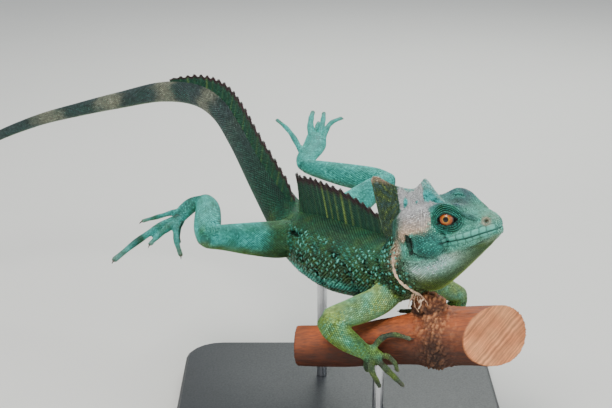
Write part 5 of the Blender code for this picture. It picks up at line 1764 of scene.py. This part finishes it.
class BASILISK_OT_crests(bpy.types.Operator):
    """The crest of the head, the sail of the back and the low sail of the tail"""
    bl_idname = "basilisk.crests"
    bl_label = "Crests and sails"

    def execute(self, context):
        tone = tones_of(context.scene.basilisk_skin, context.scene.basilisk_crest)
        finish = skin_finish("crest_hide", 1.0, 0.5, 0.5, 1100.0)
        self.head_crest(tone, finish)
        self.sail("back_sail", SAIL_ROWS, 19, 0.42, 58, ("back_sail",), tone, finish)
        self.sail("tail_sail", TAIL_SAIL_ROWS, 24, 0.35, 34, ("tail_sail_1", "tail_sail_2"), tone, finish)
        return {"FINISHED"}

    @staticmethod
    def head_crest(tone, finish):
        grid = crest_grid()
        mesh = vane_mesh("head_crest_skin", grid)
        points = points_of(mesh)
        places = from_head(points)
        back = places[:, 0]
        top, foot, _ = values_at(HEAD_CREST_ROWS, back).T
        up = np.clip((places[:, 2] - foot) / (top - foot), 0, 1)
        fine = ripple(points, 2.2, 21)
        spots = ripple(points, 1.3, 22)
        front = layered(tone.turquoise * (1.3, 1.1, 1.35), (tone.dark * 1.6, 0.25 + 0.4 * fine),
                        (tone.throat, smooth_step(0.55, 0.95, up) * (0.5 + 0.6 * spots)))
        flap = layered(tone.flap, (tone.dark, 0.35 + 0.35 * fine),
                       (tone.ray * 0.8, smooth_step(0.5, 1.0, spots) * 0.5),
                       (tone.brow * 0.7, smooth_step(0.35, 0.9, -spots) * 0.45),
                       (tone.shed * 0.7, smooth_step(0.88, 1.0, up) * smooth_step(58, 66, back)))
        set_colours(mesh, layered(front, (flap, smooth_step(54, 57, back)),
                                  (shed_colour(places, points, tone.shed), shed_mask(places, points) * 0.9)))
        obj = declare(place_object("head_crest_skin", mesh, finish), "crest", "head_crest_front", "head_crest_rear")
        vane_scales("head_crest_scales", obj, grid, 64, 0.8, finish)

    @staticmethod
    def sail(label, rows, rays, lean, around, nodes, tone, finish):
        name = label + "_skin"
        grid, spine, ray = sail_grid(rows, rays, lean)
        mesh = vane_mesh(name, grid)
        points = points_of(mesh)
        station, layer = np.divmod(nearest_of(spine.reshape(-1, 3), points), SAIL_LAYERS)
        layer = layer / (SAIL_LAYERS - 1)
        number = station // RAY_STATIONS
        draw = np.random.default_rng(len(name))
        lit = (draw.random(rays + 1) ** 4)[number] * 0.5
        if label == "back_sail":
            lit = lit * 0.3 + np.isin(number, (8, 11)) * 0.8 + np.isin(number, (7, 9, 10)) * 0.3
        fine = ripple(points, 2.4, 31)
        set_colours(mesh, layered(
            tone.membrane, (tone.dark, 0.4 + 0.35 * fine), (tone.green * 0.7, (1 - layer) * 0.5),
            (tone.ray, ray[station] * (0.06 + 0.94 * lit) * (1 - 0.5 * layer)),
            (tone.edge, smooth_step(0.8, 0.93, layer) * (0.85 + 0.15 * fine)),
            (tone.throat, smooth_step(0.97, 1.0, layer) * ray[station] * 0.35)))
        obj = declare(place_object(name, mesh, finish), "crest", *nodes)
        vane_scales(label + "_scales", obj, grid, around, 0.7, finish)


class BASILISK_OT_claws(bpy.types.Operator):
    """A hooked claw at the end of each finger and toe"""
    bl_idname = "basilisk.claws"
    bl_label = "Claws"

    def execute(self, context):
        length = context.scene.basilisk_claw.length / MM
        angle = turns(10)[:, None]
        claws = []
        for _, out, digits in FEET.values():
            for *joints, width in digits:
                centre, forward, side, up = (value[0] for value in frames_at(joints, [len(joints) - 1], out))
                rings = []
                for t in np.linspace(0, 1, 12):
                    bend = CLAW_BEND * t
                    middle = centre + forward * (math.sin(bend) * length * 0.95 - 0.4) - up * (
                        (1 - math.cos(bend)) * length * 0.75 + 0.05)
                    over = np.cross(side, forward * math.cos(bend) - up * math.sin(bend))
                    girth = width * DIGIT_TIP * 0.5 * (1 - t) ** 0.75 + 0.05
                    rings.append(middle + side * np.cos(angle) * girth * 0.72 + over * np.sin(angle) * girth)
                claws.append(grid_bmesh(np.array(rings)))
        mesh = joined("claws", claws)
        declare(place_object("claws", mesh, claw_finish(context.scene.basilisk_claw)), "skin")
        return {"FINISHED"}


class BASILISK_OT_log(bpy.types.Operator):
    """The cut log with its collar of bark"""
    bl_idname = "basilisk.log"
    bl_label = "Log"

    def execute(self, context):
        settings = context.scene.basilisk_log
        tone = tones_of(settings)
        places = spread(LOG_ROWS, 150)
        centre, axis, across, up = frames_at(LOG_ROWS, places, UP)
        radius = rows_at(LOG_ROWS, places)[:, 3]
        angle = turns(120)
        collar = bump_at(places, COLLAR_PLACE, COLLAR_WIDTH)
        size = (radius[:, None] + 0.5 * np.sin(2 * angle + places[:, None])
                + 0.35 * np.sin(3 * angle - 1.3 * places[:, None])
                + COLLAR_RISE * collar[:, None] * (0.75 + 0.25 * np.sin(5 * angle + 1)))
        trunk = grid_bmesh(rings_round(centre, across, up, np.cos(angle) * size, np.sin(angle) * size))
        cut = bmesh.ops.bisect_plane(trunk, geom=[*trunk.verts, *trunk.edges, *trunk.faces], dist=WELD,
                                     plane_co=LOG_CUT * MM, plane_no=LOG_CUT_FACING, clear_outer=True)
        bmesh.ops.holes_fill(trunk, edges=[e for e in cut["geom_cut"] if isinstance(e, bmesh.types.BMEdge)], sides=0)
        knob = grid_bmesh(ball_grid(KNOB_PLACE, np.array((across[-1], axis[-1], up[-1])), KNOB_SIZE))
        mesh = rebuilt("log", [outward(trunk), knob], settings.grain)
        points = points_of(mesh)
        face = smooth_step(-1.2, -0.3, (points - LOG_CUT) @ LOG_CUT_FACING)
        points = relaxed(points, edges_of(mesh), 4, weight=1 - 0.8 * face)
        put_points(mesh, points)
        normals = normals_of(mesh)
        path = spread(LOG_ROWS, 300)
        place = path[nearest_of(rows_at(LOG_ROWS, path)[:, :3], points)]
        knobby = 1 - smooth_step(9.5, 13, np.linalg.norm(points - KNOB_PLACE, axis=1))
        bark = np.maximum(bump_at(place, COLLAR_PLACE, COLLAR_WIDTH * 1.15), knobby) * (1 - face)
        crumbs = (np.abs(ripple(points, 5, 41)) + np.abs(ripple(points, 2.6, 42)) * 0.7
                  + np.abs(ripple(points, 1.5, 43)) * 0.45)
        way = unit(axis[60])
        flat = points - np.outer(points @ way, way)
        fibres = ripple(flat, 2.2, 44) + 0.5 * ripple(flat, 1.2, 45)
        saw = np.sin((points @ SAW_WAY) * 2.6 + 0.6 * ripple(points, 14, 46)) * 0.11
        shift = bark * (crumbs - 1.0) + (1 - bark) * (1 - face) * fibres * 0.13 + face * saw
        put_points(mesh, points + normals * shift[:, None])
        coarse = ripple(points, 16, 47)
        wood = mixed(tone.wood, tone.bark * 0.6, 0.3 + 0.35 * coarse)
        # The collar is paler where its crumbs stand out and darker in the hollows between them: partly the bark's own
        # colour, partly painted shade in the hollows and painted highlight on the tops.
        crumb = mixed(tone.bark * 0.4, tone.cut * 0.8, smooth_step(0.7, 2.2, crumbs))
        sawn = mixed(tone.cut, tone.wood, 0.2 + 0.2 * coarse + 1.2 * np.abs(saw))
        # Painted shade: the log's sides grow darker towards the bottom, by how far their surface faces down, while the
        # sawn face is left out of it.
        shaded = 0.2 + 0.85 * smooth_step(-0.2, 1.0, normals[:, 2])
        set_colours(mesh, layered(wood, (crumb, bark), (sawn, face)) * (shaded * (1 - face) + 1.08 * face)[:, None])
        put_values(mesh, "sawn", "FLOAT", "value", face.astype(np.float32))
        declare(place_object("log_wood", mesh, wood_finish()), "log_wood", "log")
        return {"FINISHED"}


class BASILISK_OT_stand(bpy.types.Operator):
    """Finishes of the display stand"""
    bl_idname = "basilisk.stand"
    bl_label = "Stand"

    def execute(self, context):
        settings = context.scene.basilisk_stage
        painted = stand_finish("painted_base", settings.stand[:], 0.0, 0.42, 900.0, (1, 1, 1))
        brushed = stand_finish("brushed_rod", (0.55, 0.56, 0.58), 1.0, 0.28, 400.0, (4, 4, 0.15))
        for name, finish in (("stand_base", painted), ("stand_rod_log", brushed), ("stand_rod_body", brushed)):
            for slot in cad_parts[name].material_slots:
                slot.material = finish
        return {"FINISHED"}


class BASILISK_OT_stage(bpy.types.Operator):
    """Camera at the photograph's view, a pale floor and soft light"""
    bl_idname = "basilisk.stage"
    bl_label = "Stage"

    def execute(self, context):
        settings = context.scene.basilisk_stage
        data = bpy.data.cameras.new("camera")
        data.lens = settings.lens
        data.sensor_width = 36
        data.sensor_fit = "HORIZONTAL"
        data.clip_end = 20
        camera = bpy.data.objects.new("camera", data)
        camera.location = CAMERA_PLACE
        camera.rotation_euler = (math.radians(90 - CAMERA_DIP), 0, 0)
        context.scene.collection.objects.link(camera)
        context.scene.camera = camera

        bm = bmesh.new()
        bmesh.ops.create_grid(bm, x_segments=8, y_segments=8, size=3)
        made, tree = finish_of("pale_floor", roughness=0.8)
        dress(tree, mottled(tree, settings.floor, 4.0, 0.06)[0])
        place_object("floor", poured(bm, "floor"), made)

        world = bpy.data.worlds.new("studio")
        world.use_nodes = True
        sky = world.node_tree.nodes["Background"].inputs
        sky["Color"].default_value = (0.86, 0.92, 1.0, 1)
        sky["Strength"].default_value = 0.48
        context.scene.world = world
        for name, place, size, share, colour in (
            ("key", (-0.3, -0.6, 1.2), 0.6, 1.0, (1.0, 0.98, 0.94)),
            ("fill", (0.95, -0.75, 0.6), 0.9, 0.38, (0.9, 0.96, 1.0)),
            ("rim", (0.2, 0.95, 0.9), 0.6, 0.6, (0.95, 1.0, 0.95)),
        ):
            light = bpy.data.lights.new(name, "AREA")
            light.size = size
            light.energy = settings.key * share
            light.color = colour
            obj = bpy.data.objects.new(name, light)
            obj.location = place
            obj.rotation_euler = (LIGHTS_AIM - Vector(place)).to_track_quat("-Z", "Y").to_euler()
            context.scene.collection.objects.link(obj)
        return {"FINISHED"}


class BASILISK_PT_panel(bpy.types.Panel):
    bl_idname = "BASILISK_PT_panel"
    bl_label = "Green basilisk"
    bl_space_type = "VIEW_3D"
    bl_region_type = "UI"
    bl_category = "Basilisk"

    def draw(self, context):
        for operator, groups in STEPS:
            box = self.layout.box()
            box.operator(operator.bl_idname)
            for group in groups:
                settings = getattr(context.scene, group)
                for name in settings.__annotations__:
                    box.prop(settings, name)


GROUPS = {
    "basilisk_skin": BasiliskSkinSettings,
    "basilisk_scales": BasiliskScaleSettings,
    "basilisk_eye": BasiliskEyeSettings,
    "basilisk_crest": BasiliskCrestSettings,
    "basilisk_claw": BasiliskClawSettings,
    "basilisk_log": BasiliskLogSettings,
    "basilisk_stage": BasiliskStageSettings,
}
STEPS = (
    (BASILISK_OT_stage, ("basilisk_stage",)),
    (BASILISK_OT_skin, ("basilisk_skin",)),
    (BASILISK_OT_scales, ("basilisk_scales",)),
    (BASILISK_OT_lips, ()),
    (BASILISK_OT_shed, ()),
    (BASILISK_OT_eyes, ("basilisk_eye",)),
    (BASILISK_OT_crests, ("basilisk_crest",)),
    (BASILISK_OT_claws, ("basilisk_claw",)),
    (BASILISK_OT_log, ("basilisk_log",)),
    (BASILISK_OT_stand, ()),
)


def register():
    for group in GROUPS.values():
        bpy.utils.register_class(group)
    for name, group in GROUPS.items():
        setattr(bpy.types.Scene, name, bpy.props.PointerProperty(type=group))
    for operator, _ in STEPS:
        bpy.utils.register_class(operator)
    bpy.utils.register_class(BASILISK_PT_panel)


def unregister():
    bpy.utils.unregister_class(BASILISK_PT_panel)
    for operator, _ in reversed(STEPS):
        bpy.utils.unregister_class(operator)
    for name, group in reversed(GROUPS.items()):
        delattr(bpy.types.Scene, name)
        bpy.utils.unregister_class(group)


def main():
    register()
    bpy.ops.basilisk.stage()
    bpy.ops.basilisk.skin()
    bpy.ops.basilisk.scales()
    bpy.ops.basilisk.lips()
    bpy.ops.basilisk.shed()
    bpy.ops.basilisk.eyes()
    bpy.ops.basilisk.crests()
    bpy.ops.basilisk.claws()
    bpy.ops.basilisk.log()
    bpy.ops.basilisk.stand()


if __name__ == "__main__":
    main()
